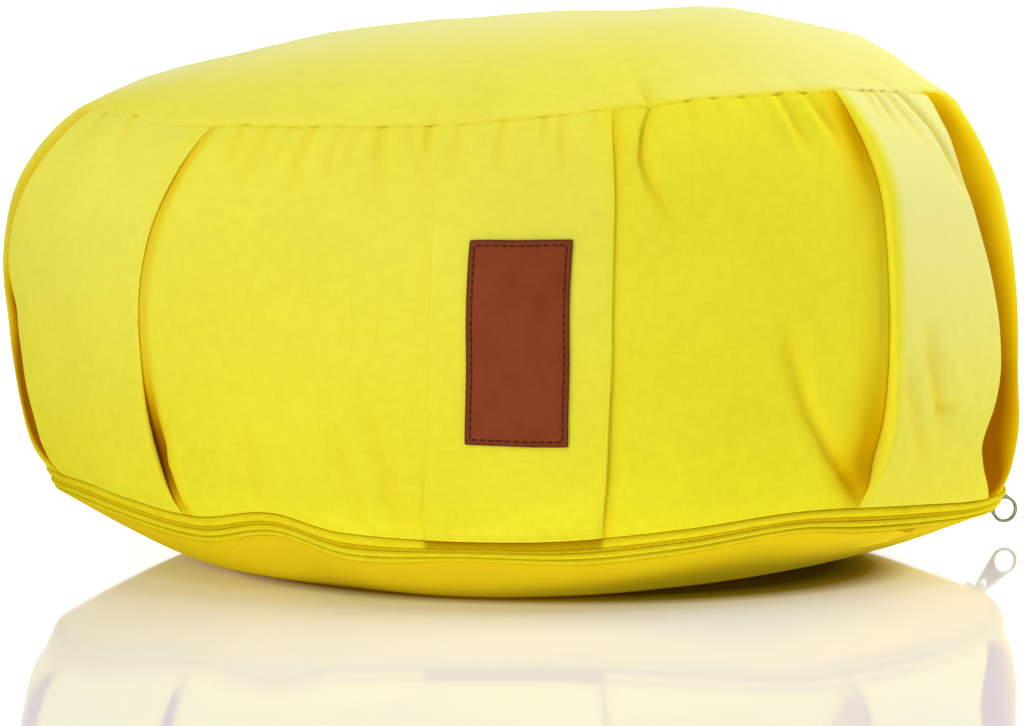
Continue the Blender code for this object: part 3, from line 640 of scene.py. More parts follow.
# ---- meshes -------------------------------------------------------------------------------------
@dataclass
class Shell:
    """A mesh under construction: its points and its faces."""

    points: list[np.ndarray] = field(default_factory=list)
    faces: list[tuple[int, ...]] = field(default_factory=list)
    count: int = 0

    def add(self, points: np.ndarray) -> np.ndarray:
        """Adds points and returns their numbers.

        Args:
            points: Rows of x, y and z.

        Returns:
            The new points' numbers, in order.
        """
        self.points.append(np.asarray(points, float))
        numbers = np.arange(self.count, self.count + len(points))
        self.count += len(points)
        return numbers

    def bridge(self, lower: np.ndarray, upper: np.ndarray, closed: bool = True) -> None:
        """Four-sided faces between two loops with as many points.

        Args:
            lower: The first loop's point numbers.
            upper: The second loop's point numbers.
            closed: Whether the last point joins the first.
        """
        last = len(lower) if closed else len(lower) - 1
        for i in range(last):
            j = (i + 1) % len(lower)
            self.faces.append((int(lower[i]), int(lower[j]), int(upper[j]), int(upper[i])))

    def fan(self, loop: np.ndarray, centre: int, flip: bool = False) -> None:
        """Triangles from a loop to a point in its middle.

        Args:
            loop: The loop's point numbers.
            centre: The number of the point in its middle.
            flip: Whether the triangles face the other way.
        """
        for i in range(len(loop)):
            pair = (int(loop[i]), int(loop[(i + 1) % len(loop)]))
            self.faces.append((*reversed(pair), centre) if flip else (*pair, centre))

    def make(self, name: str, material: Material, sharp: float = 180.0) -> Object:
        """The finished object, shaded smooth.

        Args:
            name: The piece's name.
            material: Its finish.
            sharp: Edges that turn more than this many degrees stay sharp.

        Returns:
            The object, linked to the scene.
        """
        mesh = bpy.data.meshes.new(name)
        mesh.from_pydata(np.vstack(self.points).tolist(), [], self.faces)
        mesh.materials.append(material)
        mesh.shade_smooth()
        if sharp < 180.0:
            mesh.set_sharp_from_angle(angle=math.radians(sharp))
        return placed(name, mesh)


def placed(name: str, data: ID) -> Object:
    """Puts a mesh, a light or a camera in the scene.

    Args:
        name: The object's name.
        data: What it holds.

    Returns:
        The object.
    """
    made = bpy.data.objects.new(name, data)
    bpy.context.scene.collection.objects.link(made)
    return made


def mesh_of(curve: Curve, material: Material) -> Mesh:
    """A curve's whole form as a mesh.

    Args:
        curve: The curve, with its thickness and rounding.
        material: The form's finish.

    Returns:
        The mesh.
    """
    form = bpy.data.objects.new(curve.name + "_form", curve)
    mesh = bpy.data.meshes.new_from_object(form)
    bpy.data.objects.remove(form)
    mesh.materials.clear()
    mesh.materials.append(material)
    return mesh


def corner_points(mesh: Mesh) -> np.ndarray:
    """The number of the point at each face corner.

    Args:
        mesh: The mesh.

    Returns:
        A number for each corner, in order.
    """
    corners = np.empty(len(mesh.loops), np.int32)
    mesh.loops.foreach_get("vertex_index", corners)
    return corners


def set_shade(piece: Object, name: str, values: np.ndarray) -> None:
    """Stores a value for each point of a piece, which its material reads by name."""
    layer = piece.data.attributes.new(name, "FLOAT", "POINT")
    layer.data.foreach_set("value", np.asarray(values, np.float32))


def set_cloth_map(piece: Object, corners: np.ndarray) -> None:
    """Stores each face corner's place on the flat cloth, in metres."""
    layer = piece.data.uv_layers.new(name=CLOTH_MAP)
    layer.uv.foreach_set("vector", np.asarray(corners, np.float32).ravel())


def join_meshes(pieces: Sequence[Object], name: str) -> Object:
    """Joins copies of small forms into one object.

    Args:
        pieces: The objects, which are used up.
        name: The joined object's name.

    Returns:
        The joined object.
    """
    bm = bmesh.new()
    for piece in pieces:
        mesh = piece.data
        mesh.transform(piece.matrix_world)
        bm.from_mesh(mesh)
    joined = bpy.data.meshes.new(name)
    bm.to_mesh(joined)
    bm.free()
    for material in pieces[0].data.materials:
        joined.materials.append(material)
    for piece in pieces:
        bpy.data.objects.remove(piece)
    joined.shade_smooth()
    return placed(name, joined)


def capsules(name: str, spots: Sequence[tuple[Vector, Vector, Vector]], length: float, radius: float,
             flatness: float, material: Material, segments: int = 8,
             rings: int = 3) -> Object:
    """Many small rounded bars in one mesh, such as stitches or zip teeth.

    Args:
        name: The piece's name.
        spots: For each bar its middle, its direction and the way it faces.
        length: A bar's whole length.
        radius: Half its width.
        flatness: Its height as a share of its width.
        material: Its finish.
        segments: Sides round the bar.
        rings: Rings in each rounded end.

    Returns:
        The joined bars.
    """
    angles = np.linspace(0, 2 * math.pi, segments, endpoint=False)
    stations = []
    for k in range(1, rings + 1):
        turn = math.pi / 2 * k / rings
        stations.append((-(length / 2 - radius) - radius * math.cos(turn), radius * math.sin(turn)))
    stations += [(-x, r) for x, r in reversed(stations)]
    shell = Shell()
    for middle, direction, facing in spots:
        along = np.array(direction.normalized())
        out = np.array(facing.normalized())
        side = np.cross(out, along)
        loops = []
        for x, r in stations:
            ring = (np.array(middle) + along * x)[None, :] + r * (
                np.cos(angles)[:, None] * side + flatness * np.sin(angles)[:, None] * out)
            loops.append(shell.add(ring))
        for one, other in zip(loops, loops[1:]):
            shell.bridge(one, other)
        ends = shell.add(np.stack((np.array(middle) - along * length / 2,
                                   np.array(middle) + along * length / 2)))
        shell.fan(loops[0], int(ends[0]), flip=True)
        shell.fan(loops[-1], int(ends[1]))
    return shell.make(name, material)


def tube(name: str, path: Sequence[Sequence[float]], radius: float, material: Material) -> Object:
    """A round bar along a path.

    Args:
        name: The bar's name.
        path: Its middle line's points, in order.
        radius: Its radius.
        material: Its finish.

    Returns:
        The bar's object.
    """
    curve = bpy.data.curves.new(name, "CURVE")
    curve.dimensions = "3D"
    curve.bevel_depth = radius
    curve.bevel_resolution = 4
    curve.use_fill_caps = True
    spline = curve.splines.new("POLY")
    spline.points.add(len(path) - 1)
    for point, place in zip(spline.points, path):
        point.co = (*place, 1.0)
    return placed(name, mesh_of(curve, material))


# ---- shader maths -------------------------------------------------------------------------------
Wireable = "Wire | float"


@dataclass(frozen=True)
class Wire:
    """A value's socket, which adds Math nodes as it is used in an expression."""

    tree: NodeTree
    socket: NodeSocket

    def math(self, operation: str, *others: Wireable, clamp: bool = False) -> Wire:
        """A Math node on this value and others.

        Args:
            operation: The Math node's operation.
            *others: The other values or wires, in order.
            clamp: Whether the result is kept between 0 and 1.

        Returns:
            The result's wire.
        """
        node = self.tree.nodes.new("ShaderNodeMath")
        node.operation = operation
        node.use_clamp = clamp
        for place, value in enumerate((self, *others)):
            if isinstance(value, Wire):
                self.tree.links.new(value.socket, node.inputs[place])
            else:
                node.inputs[place].default_value = value
        return Wire(self.tree, node.outputs[0])

    def __add__(self, other: Wireable) -> Wire:
        """The sum."""
        return self.math("ADD", other)

    __radd__ = __add__

    def __sub__(self, other: Wireable) -> Wire:
        """The difference."""
        return self.math("SUBTRACT", other)

    def __rsub__(self, other: float) -> Wire:
        """A number less this value."""
        return (self * -1.0).math("ADD", other)

    def __mul__(self, other: Wireable) -> Wire:
        """The product."""
        return self.math("MULTIPLY", other)

    __rmul__ = __mul__

    def wave(self, pitch: float) -> Wire:
        """A round thread's profile for each pitch: 0 between threads and 1 on top of one."""
        return (self * (math.pi / pitch)).math("SINE").math("ABSOLUTE")

    def clamped(self) -> Wire:
        """The value kept between 0 and 1."""
        return self.math("ADD", 0.0, clamp=True)


@dataclass(frozen=True)
class Colour:
    """A linear colour."""

    red: float
    green: float
    blue: float

    @property
    def socket_value(self) -> tuple[float, float, float, float]:
        """The colour as a socket holds it."""
        return (self.red, self.green, self.blue, 1.0)


class Recipe:
    """Builds one material's nodes."""

    def __init__(self, name: str) -> None:
        """Starts a material with a Principled shader.

        Args:
            name: The material's name.
        """
        self.material = bpy.data.materials.new(name)
        self.material.use_nodes = True
        self.tree = self.material.node_tree
        self.shader = self.tree.nodes["Principled BSDF"]

    def node(self, kind: str, settings: dict[str, object] | None = None, **inputs: object) -> Node:
        """Adds a node.

        Args:
            kind: The node's type.
            settings: Its properties, which are set first.
            **inputs: For each socket, named with _ for a space, a value, a colour or a wire.

        Returns:
            The node.
        """
        made = self.tree.nodes.new(kind)
        for key, value in (settings or {}).items():
            setattr(made, key, value)
        for key, value in inputs.items():
            self.feed(made.inputs[key.replace("_", " ")], value)
        return made

    def feed(self, socket: NodeSocket, value: object) -> None:
        """Links a wire or a socket to a socket, or sets its value.

        Args:
            socket: The socket to feed.
            value: A wire, a socket, a colour or a plain value.
        """
        if isinstance(value, Wire):
            self.tree.links.new(value.socket, socket)
        elif isinstance(value, NodeSocket):
            self.tree.links.new(value, socket)
        elif isinstance(value, Colour):
            socket.default_value = value.socket_value
        else:
            socket.default_value = value

    def set(self, **inputs: object) -> None:
        """Feeds the Principled shader's sockets, named with _ for a space."""
        for key, value in inputs.items():
            self.feed(self.shader.inputs[key.replace("_", " ")], value)

    def cover_with(self, other: Node, share: Wire) -> None:
        """Lays another shader over the Principled one, by a share from 0 to 1.

        Args:
            other: The other shader's node.
            share: The wire of the share.
        """
        mixed = self.node("ShaderNodeMixShader")
        for place, value in enumerate((share, self.shader.outputs[0], other.outputs[0])):
            self.feed(mixed.inputs[place], value)
        self.feed(self.tree.nodes["Material Output"].inputs["Surface"], mixed.outputs[0])

    def wire(self, node: Node, output: str | int = 0) -> Wire:
        """A wire from a node's output."""
        return Wire(self.tree, node.outputs[output])

    def shade(self, name: str) -> Wire:
        """The wire of a value that the mesh stores at each point."""
        return self.wire(self.node("ShaderNodeAttribute", {"attribute_name": name}), "Fac")

    def cloth_place(self) -> tuple[Wire, Wire]:
        """The wires of a point's place on the flat cloth, in metres, along and across."""
        return self.split(self.node("ShaderNodeUVMap", {"uv_map": CLOTH_MAP}).outputs["UV"])

    def floor_place(self) -> tuple[Wire, Wire]:
        """The wires of a point's X and Y on its own object, in metres."""
        return self.split(self.node("ShaderNodeTexCoord").outputs["Object"])

    def split(self, vector: NodeSocket) -> tuple[Wire, Wire]:
        """The wires of a vector's X and Y."""
        parts = self.node("ShaderNodeSeparateXYZ", Vector=vector)
        return self.wire(parts, "X"), self.wire(parts, "Y")

    def stretched_noise(self, along: Wire, across: Wire, scale_along: float, scale_across: float) -> Wire:
        """Noise on the cloth's own coordinates, drawn out along a thread.

        Args:
            along: The first coordinate, in metres.
            across: The second coordinate.
            scale_along: Features for each metre along the first.
            scale_across: Features for each metre along the second.

        Returns:
            The noise's wire, about 0.5 on average.
        """
        place = self.node("ShaderNodeCombineXYZ")
        self.feed(place.inputs["X"], along * scale_along)
        self.feed(place.inputs["Y"], across * scale_across)
        return self.wire(self.node("ShaderNodeTexNoise", Vector=place.outputs[0], Scale=1.0,
                                   Detail=2.0), "Fac")

    def noise(self, scale: float, detail: float = 2.0) -> Wire:
        """Noise on the object's own coordinates.

        Args:
            scale: Features for each metre.
            detail: How many finer layers it has.

        Returns:
            The noise's wire, about 0.5 on average.
        """
        place = self.node("ShaderNodeTexCoord")
        return self.wire(self.node("ShaderNodeTexNoise", Vector=place.outputs["Object"], Scale=scale,
                                   Detail=detail), "Fac")

    def blend(self, share: Wire, one: object, other: object) -> NodeSocket:
        """A colour between two, by a share from 0 to 1.

        Args:
            share: The wire of the share.
            one: The colour or socket at 0.
            other: The colour or socket at 1.

        Returns:
            The blended colour's socket.
        """
        mixed = self.node("ShaderNodeMix", {"data_type": "RGBA"})
        self.feed(mixed.inputs["Factor"], share)
        for key, value in (("A", one), ("B", other)):
            socket = next(s for s in mixed.inputs if s.name == key and s.type == "RGBA")
            self.feed(socket, value)
        return next(s for s in mixed.outputs if s.type == "RGBA")

    def relief(self, height: Wire, strength: float, distance: float,
               under: NodeSocket | None = None) -> NodeSocket:
        """A Bump node.

        Args:
            height: The wire of the height.
            strength: The bump's strength.
            distance: The height's full size, in metres.
            under: The normal of a coarser bump below it.

        Returns:
            The normal's socket.
        """
        bump = self.node("ShaderNodeBump", Height=height, Strength=strength, Distance=distance)
        if under is not None:
            self.feed(bump.inputs["Normal"], under)
        return bump.outputs["Normal"]


class Weave(Enum):
    """How a cloth's threads cross."""

    PLAIN = "plain"
    TWILL = "twill"


@dataclass(frozen=True)
class ClothFinish:
    """A woven cotton finish with its threads and slubs, plus painted shade (golden, then brown) and painted
    sheen (paler).
    """

    name: str
    colour: Colour
    slub: Colour
    # fold and deep are the colours of painted shade, golden and brown; pale is the colour of painted sheen.
    fold: Colour
    deep: Colour
    pale: Colour
    weave: Weave
    pitch: float
    relief: float
    roughness: float = 0.82
    crumple: float = 0.14
    crumple_depth: float = 0.6 * MM
    thread_depth: float = 0.25 * MM

    def build(self) -> Material:
        """Builds the nodes.

        Returns:
            The finished material.
        """
        recipe = Recipe(self.name)
        u, v = recipe.cloth_place()
        if self.weave is Weave.PLAIN:
            warp, weft = u.wave(self.pitch), v.wave(self.pitch)
            over = (u * (math.pi / self.pitch)).math("SINE") * (v * (math.pi / self.pitch)).math("SINE")
            share = (over * 2.0 + 0.5).clamped()
            threads = warp * share + weft * (1 - share)
        else:
            threads = (u + v).wave(self.pitch)
        streaks = recipe.stretched_noise(u, v, 160.0, 1300.0) + recipe.stretched_noise(v, u, 160.0, 1300.0)
        mottle = recipe.noise(24.0, 3.0) + recipe.noise(260.0)
        slub = ((streaks - 1.0) + (mottle - 1.0) * 1.3 + (0.62 - threads) * 0.08 + 0.45).clamped()
        cloth = recipe.blend(slub, self.colour, self.slub)
        # Painted sheen: paler where light grazes the cloth.
        cloth = recipe.blend(recipe.shade(PAINTED_SHEEN).clamped(), cloth, self.pale)
        # Painted shade: golden in light shade, brown in deep shade.
        dark = recipe.shade(PAINTED_SHADE)
        golden = recipe.blend((dark * 2.0).clamped(), cloth, self.fold)
        recipe.set(
            Base_Color=recipe.blend((dark * 2.0 - 1.0).clamped(), golden, self.deep),
            Roughness=(streaks - 1.0) * 0.12 + self.roughness,
            Specular_IOR_Level=0.0,
        )
        coarse = recipe.relief(recipe.noise(220.0), self.crumple, self.crumple_depth)
        recipe.set(Normal=recipe.relief(threads + streaks * 0.5, self.relief, self.thread_depth, coarse))
        return recipe.material


@dataclass(frozen=True)
class LeatherFinish:
    """Smooth leather with pores and a darker, burnished edge."""

    name: str
    colour: Colour
    mottled: Colour
    burnished: Colour

    def build(self) -> Material:
        """Builds the nodes.

        Returns:
            The finished material.
        """
        recipe = Recipe(self.name)
        clouds = recipe.noise(140.0, 4.0)
        grain = recipe.wire(recipe.node("ShaderNodeTexVoronoi", Scale=1900.0,
                                        Vector=recipe.node("ShaderNodeTexCoord").outputs["Object"]),
                            "Distance")
        mixed = recipe.blend(((clouds - 0.38) * 2.6).clamped(), self.colour, self.mottled)
        recipe.set(
            Base_Color=recipe.blend(recipe.shade(EDGE_SHADE).clamped(), mixed, self.burnished),
            Roughness=(clouds - 0.5) * 0.25 + 0.55,
            Specular_IOR_Level=0.12,
            Normal=recipe.relief(grain + clouds * 0.6, 0.28, 0.25 * MM),
        )
        return recipe.material


@dataclass(frozen=True)
class PlainFinish:
    """A small hard part's finish: nylon, thread or metal with fine unevenness."""

    name: str
    colour: Colour
    worn: Colour
    roughness: float
    metallic: float = 0.0
    specular: float = 0.1
    grain: float = 900.0
    relief: float = 0.08

    def build(self) -> Material:
        """Builds the nodes.

        Returns:
            The finished material.
        """
        recipe = Recipe(self.name)
        clouds = recipe.noise(self.grain, 3.0)
        recipe.set(
            Base_Color=recipe.blend(((clouds - 0.35) * 2.2).clamped(), self.colour, self.worn),
            Roughness=(clouds - 0.5) * 0.2 + self.roughness,
            Metallic=self.metallic,
            Specular_IOR_Level=self.specular,
            Normal=recipe.relief(clouds, self.relief, 0.1 * MM),
        )
        return recipe.material


@dataclass(frozen=True)
class FloorFinish:
    """A pale, slightly glossy studio floor with a painted shadow: dark where the cushion shuts the light
    out.
    """

    name: str = "studio_floor"
    # contact_x, contact_y, contact_radius and contact_soft place the painted shadow's disc.
    contact_x: float = 0.020
    contact_y: float = -0.036
    contact_radius: float = 0.121
    contact_soft: float = 0.030
    glow: float = 0.11
    unlit_gain: float = 1.25
    unlit_start: float = 0.45

    def build(self) -> Material:
        """Builds the nodes.

        Returns:
            The finished material.
        """
        recipe = Recipe(self.name)
        clouds = recipe.noise(3.0)
        x, y = recipe.floor_place()
        # Painted shadow: a soft disc round the cushion's contact turns the floor brown and dims its glow.
        away = ((x - self.contact_x) * (x - self.contact_x)
                + (y - self.contact_y) * (y - self.contact_y)).math("SQRT")
        shut = ((self.contact_radius - away) * (1.0 / self.contact_soft)).clamped()
        dim = (shut * 2.0).clamped()
        pale = recipe.blend(clouds, Colour(0.90, 0.88, 0.97), Colour(0.92, 0.90, 0.98))
        recipe.set(
            Base_Color=recipe.blend(dim, pale, Colour(0.30, 0.18, 0.05)),
            Roughness=(clouds - 0.5) * 0.02 + 0.05,
            Specular_IOR_Level=0.2,
            Emission_Color=recipe.blend(dim, Colour(0.72, 0.82, 1.0), Colour(0.0, 0.0, 0.0)),
            Emission_Strength=self.glow,
        )
        # Painted shadow: near the disc's middle, a nearly black unlit shader covers the floor.
        unlit = recipe.node("ShaderNodeBsdfPrincipled", Base_Color=Colour(0.022, 0.007, 0.001),
                            Roughness=1.0, Specular_IOR_Level=0.0)
        recipe.cover_with(unlit, (shut * self.unlit_gain - self.unlit_start).clamped())
        return recipe.material


@dataclass(frozen=True)
class GlowFinish:
    """An evenly lit white backdrop."""

    strength: float
    name: str = "studio_backdrop"

    def build(self) -> Material:
        """Builds the nodes.

        Returns:
            The finished material.
        """
        recipe = Recipe(self.name)
        recipe.set(Base_Color=Colour(0.9, 0.9, 0.9), Emission_Color=Colour(1.0, 1.0, 1.0),
                   Emission_Strength=self.strength, Roughness=0.9)
        return recipe.material


class Finishes:
    """Every finish of the object, built once."""

    def __init__(self) -> None:
        """Builds the materials."""
        # In each cloth finish, fold and deep (brown) are painted shade colours, and pale is the painted
        # sheen colour.
        brown = Colour(0.36, 0.12, 0.0005)
        self.cotton = ClothFinish(
            name="yellow_cotton", colour=Colour(0.885, 0.815, 0.024), slub=Colour(0.825, 0.745, 0.015),
            fold=Colour(0.80, 0.50, 0.002), deep=brown, pale=Colour(0.89, 0.875, 0.36),
            weave=Weave.PLAIN, pitch=0.5 * MM, relief=0.15).build()
        self.tape = ClothFinish(
            name="zip_tape_weave", colour=Colour(0.88, 0.76, 0.018), slub=Colour(0.81, 0.67, 0.010),
            fold=Colour(0.50, 0.35, 0.002), deep=brown, pale=Colour(0.88, 0.80, 0.20),
            weave=Weave.TWILL, pitch=0.5 * MM, relief=0.2).build()
        self.coil = PlainFinish("zip_coil_nylon", Colour(0.80, 0.62, 0.008), Colour(0.70, 0.52, 0.005),
                                0.6, specular=0.0).build()
        self.thread = PlainFinish("yellow_thread", Colour(0.88, 0.77, 0.03), Colour(0.84, 0.72, 0.02),
                                  0.65).build()
        self.dark_thread = PlainFinish("brown_thread", Colour(0.070, 0.016, 0.006),
                                       Colour(0.045, 0.011, 0.005), 0.6).build()
        self.leather = LeatherFinish("brown_leather", Colour(0.258, 0.046, 0.008),
                                     Colour(0.220, 0.038, 0.006), Colour(0.075, 0.015, 0.004)).build()
        self.nickel = PlainFinish("worn_nickel", Colour(0.36, 0.35, 0.21), Colour(0.27, 0.26, 0.15), 0.34,
                                  metallic=1.0, specular=0.5, grain=500.0).build()


# ---- the filled cover ---------------------------------------------------------------------------
@dataclass
class Cover:
    """The filled cover in one closed form: bottom panel, channel, pleated band and top panel."""

    form: CoverForm
    finishes: Finishes
    front_density: float = 2.7
    back_density: float = 1.1
    front_reach: float = 95.0
    fewest_columns: int = 8
    belly_rings: int = 12
    belly_crowding: float = 1.4
    band_rings: int = 58
    crown_rings: int = 13
    crown_hole: float = 0.05
    fold_steps: int = 4
    round_steps: int = 5
    round_turn: float = 72.0
    sewn_spread: float = 0.15 * MM
    hem_freedom: float = 0.6
    hem_reach: float = 5.0 * MM
    channel_shares: tuple[float, ...] = (0.97, 0.5, 0.03)
    # Painted shade: the shades below darken the cloth in the zip's channel, over the bottom panel, by its
    # contact and under the zip, inside folds, by the top seam and in creases.
    channel_shade: float = 0.3
    belly_shade: float = 0.25
    contact_shade: float = 0.5
    hem_shade: float = 0.2
    edge_decay: float = 0.03
    under_shade: float = 0.35
    seam_shade: float = 0.12
    seam_shade_width: float = 0.5 * MM
    groove_in: float = 0.6
    groove_down: float = 0.8
    crease_shade: float = 0.065
    deepest_crease: float = 4.0
    shade_spread: float = 1.35
    # Painted sheen: the pale values make the cloth paler towards the crown's ridge and its right, on the
    # right pleat and on the sides, and less so near the bottom.
    pale_rim: float = 0.19
    pale_right: float = 0.45
    pale_ridge: float = 0.81
    pale_power: float = 3.6
    pale_pleat: float = 0.74
    pale_low: float = 0.12
    pale_side: Table = Table(
        ("azimuth", "pale"),
        ((-180, 0.20), (-75, 0.24), (-45, 0.24), (-40, 0.15), (-10, 0.15), (0, 0.16), (9, 0.15),
         (12, 0.05), (72, 0.05), (100, 0.15), (180, 0.20)),
    )
    fill: float = 0.75

    def belly_shares(self) -> np.ndarray:
        """Where the bottom panel's rings lie, closer together by its seam."""
        return 1.0 - np.linspace(1.0, 0.0, self.belly_rings) ** self.belly_crowding

    def band_heights(self) -> np.ndarray:
        """Where the band's rings lie, closer together by both seams.

        Returns:
            Fractions of the band's height, from its hem up.
        """
        ends = np.array((0.0, 0.4, 0.9, 1.6, 2.6, 4.0, 5.8)) * MM / self.form.band_length
        middle = np.linspace(ends[-1], 1.0 - ends[-1], self.band_rings)[1:-1]
        return np.concatenate((ends, middle, 1.0 - ends[::-1]))

    def crown_shares(self) -> np.ndarray:
        """Where the top panel's rings lie, closer together by its seam."""
        near = 1.0 - np.array((0.5, 1.1, 1.9, 3.0, 4.6, 7.0, 10.0)) * MM / self.form.top_seam_radius
        return np.concatenate((near, np.linspace(near[-1], self.crown_hole, self.crown_rings)[1:]))

    def density(self, azimuth: float) -> float:
        """Columns for each degree, more on the side that the front view shows."""
        front = abs(turn_between(azimuth, 0.0)) < self.front_reach
        return self.front_density if front else self.back_density

    def edge_fold(self, rows: Table, side: int, height: float,
                  sewn: bool) -> tuple[np.ndarray, np.ndarray, np.ndarray]:
        """A pleat edge's fold, from the band beside it to the pleat's face.

        Args:
            rows: The edge's table.
            side: -1 for the edge at the lower azimuth and 1 for the other.
            height: The fraction of the band's height.
            sewn: Whether a seam holds the fold flat here.

        Returns:
            Azimuths, metres outward and painted fold shades.
        """
        azimuth = float(rows.read("azimuth", height))
        free = self.form.freedom(height)
        rise = next(p.rise for p in self.form.pleats if rows in (p.left, p.right))
        lift, valley, gap, dark = (float(rows.read(column, height))
                                   for column in ("lift", "valley", "gap", "shade"))
        top, floor = free * (rise + lift), -free * valley
        under = min(floor + free * gap, top - free * self.form.fold_thickness)
        thick = top - under
        round_in = min(self.form.edge_round, thick / 2)
        deep = np.linspace(0.0, self.form.undercut, self.fold_steps + 1)
        back = np.append(deep[:0:-1], round_in)
        turns = np.radians(np.linspace(-self.round_turn, self.round_turn, self.round_steps))
        inward = np.concatenate((deep, back, round_in * (1 - np.cos(turns)), (round_in,)))
        out = np.concatenate((np.full(len(deep), floor), np.full(len(back), under),
                              (under + top) / 2 + thick / 2 * np.sin(turns), (top,)))
        # Painted shade: darker the deeper it lies under the pleat's edge, and on the fold's back.
        shade = np.concatenate((dark + (1 - dark) * deep / deep[-1],
                                self.under_shade + (1 - self.under_shade) * back / deep[-1],
                                np.zeros(self.round_steps + 1)))
        if sewn:
            spread = self.form.degrees_of(self.sewn_spread, height)
            order = (len(inward) - 1) / 2 - np.arange(len(inward))
            return azimuth + side * order * spread, np.zeros(len(inward)), np.zeros(len(inward))
        return azimuth - side * np.degrees(inward / float(self.form.band.read("radius", height))), out, shade

    def section(self, height: float, sewn: bool = False) -> tuple[np.ndarray, np.ndarray, np.ndarray]:
        """The whole cross-section of the band at a height.

        Args:
            height: The fraction of the band's height.
            sewn: Whether a seam holds every fold flat here.

        Returns:
            Azimuths, metres outward and painted fold shades, in order round the cushion.
        """
        form = self.form
        free = 0.0 if sewn else form.freedom(height)
        runs = []
        for i, pleat in enumerate(form.pleats):
            after = form.pleats[(i + 1) % len(form.pleats)]
            left = self.edge_fold(pleat.left, -1, height, sewn)
            right = tuple(values[::-1] for values in self.edge_fold(pleat.right, 1, height, sewn))
            follow = self.edge_fold(after.left, -1, height, sewn)
            reference = float(pleat.left.read("azimuth", 0.5)), float(pleat.right.read("azimuth", 0.5))
            across = round((reference[1] - reference[0]) * self.density(sum(reference) / 2))
            across = max(self.fewest_columns, across)
            face = np.linspace(left[0][-1], right[0][0], across + 1)[1:-1]
            start = right[0][-1]
            span = (follow[0][0] - start) % 360.0
            gap = (float(after.left.read("azimuth", 0.5)) - reference[1]) % 360.0
            across = max(self.fewest_columns, round(gap * self.density(reference[1] + gap / 2)))
            between = start + np.linspace(0.0, span, across + 1)[1:-1]
            sunk, dark = np.zeros_like(between), np.zeros_like(between)
            for rows in (pleat.right, after.left):
                near = np.abs(turn_between(between, float(rows.read("azimuth", height))))
                reach = float(rows.read("reach", height))
                sunk -= float(rows.read("valley", height)) * np.exp(-((near / reach) ** 3))
                # Painted shade in the valley beside each edge, spread wider than the valley.
                fall = np.exp(-((near / (reach * self.shade_spread)) ** 3))
                dark = np.maximum(dark, float(rows.read("shade", height)) * fall)
            proud = pleat.hem_rise * math.exp(-height * form.band_length / self.hem_reach)
            pleated = pleat.out(face, height, form.lift_width) * free + proud
            runs += (left, (face, pleated, np.zeros_like(face)), right, (between, sunk * free, dark))
        return tuple(np.concatenate(values) for values in zip(*runs))

    def grooved(self, points: np.ndarray, azimuth: np.ndarray, away: float) -> np.ndarray:
        """Draws cloth in beside the top seam.

        Args:
            points: A ring of the cover.
            azimuth: Its azimuths.
            away: How far the ring is from the seam, in metres.

        Returns:
            The ring drawn in and down.
        """
        depth = self.form.groove_depth * math.exp(-away / self.form.groove_width)
        depth = (depth * self.form.seam_pull(azimuth))[:, None]
        radial = points[:, :2] - np.array((self.form.top_shift_x, 0.0))
        radial /= np.linalg.norm(radial, axis=1)[:, None]
        moved = points.copy()
        moved[:, :2] -= radial * depth * self.groove_in
        moved[:, 2:] -= depth * self.groove_down
        return moved

    def sewn_dark(self, azimuth: np.ndarray, away: float) -> np.ndarray:
        """How dark the painted shade by the top seam's groove is so far from the seam."""
        return self.seam_shade * math.exp(-away / self.seam_shade_width) * self.form.seam_pull(azimuth)

    def creased_dark(self, sunk: np.ndarray) -> np.ndarray:
        """How dark the painted shade in creases is where they sink the cloth so far."""
        return self.crease_shade * np.clip(sunk / MM, 0.0, self.deepest_crease)

    def build(self) -> Object:
        """Makes the cover.

        Returns:
            The cover's object.
        """
        form = self.form
        shell = Shell()
        loops, maps, shades = [], [], []
        low_azimuth = self.section(0.0, sewn=True)[0]
        top_azimuth = self.section(1.0, sewn=True)[0]
        still = np.zeros(len(low_azimuth))

        def lay(points: np.ndarray, place: np.ndarray, shade: np.ndarray) -> None:
            """Adds a ring.

            Args:
                points: Its rows of x, y and z.
                place: Their places on the flat cloth.
                shade: How dark the painted shade at each is.
            """
            loops.append(shell.add(points))
            maps.append(place)
            shades.append(shade)

        for share in self.belly_shares():
            ring = form.belly_points(low_azimuth, float(share))
            # Painted shade: golden over the bottom panel, darker by its contact with the floor and under the
            # zip's lowest lip.
            close = self.contact_shade * math.exp(-float(share) / self.edge_decay)
            close += self.hem_shade * math.exp(-(1.0 - float(share)) / self.edge_decay)
            lay(ring, ring[:, :2], still + self.belly_shade + close)
        for share in self.channel_shares:
            ring = form.channel(low_azimuth, share)
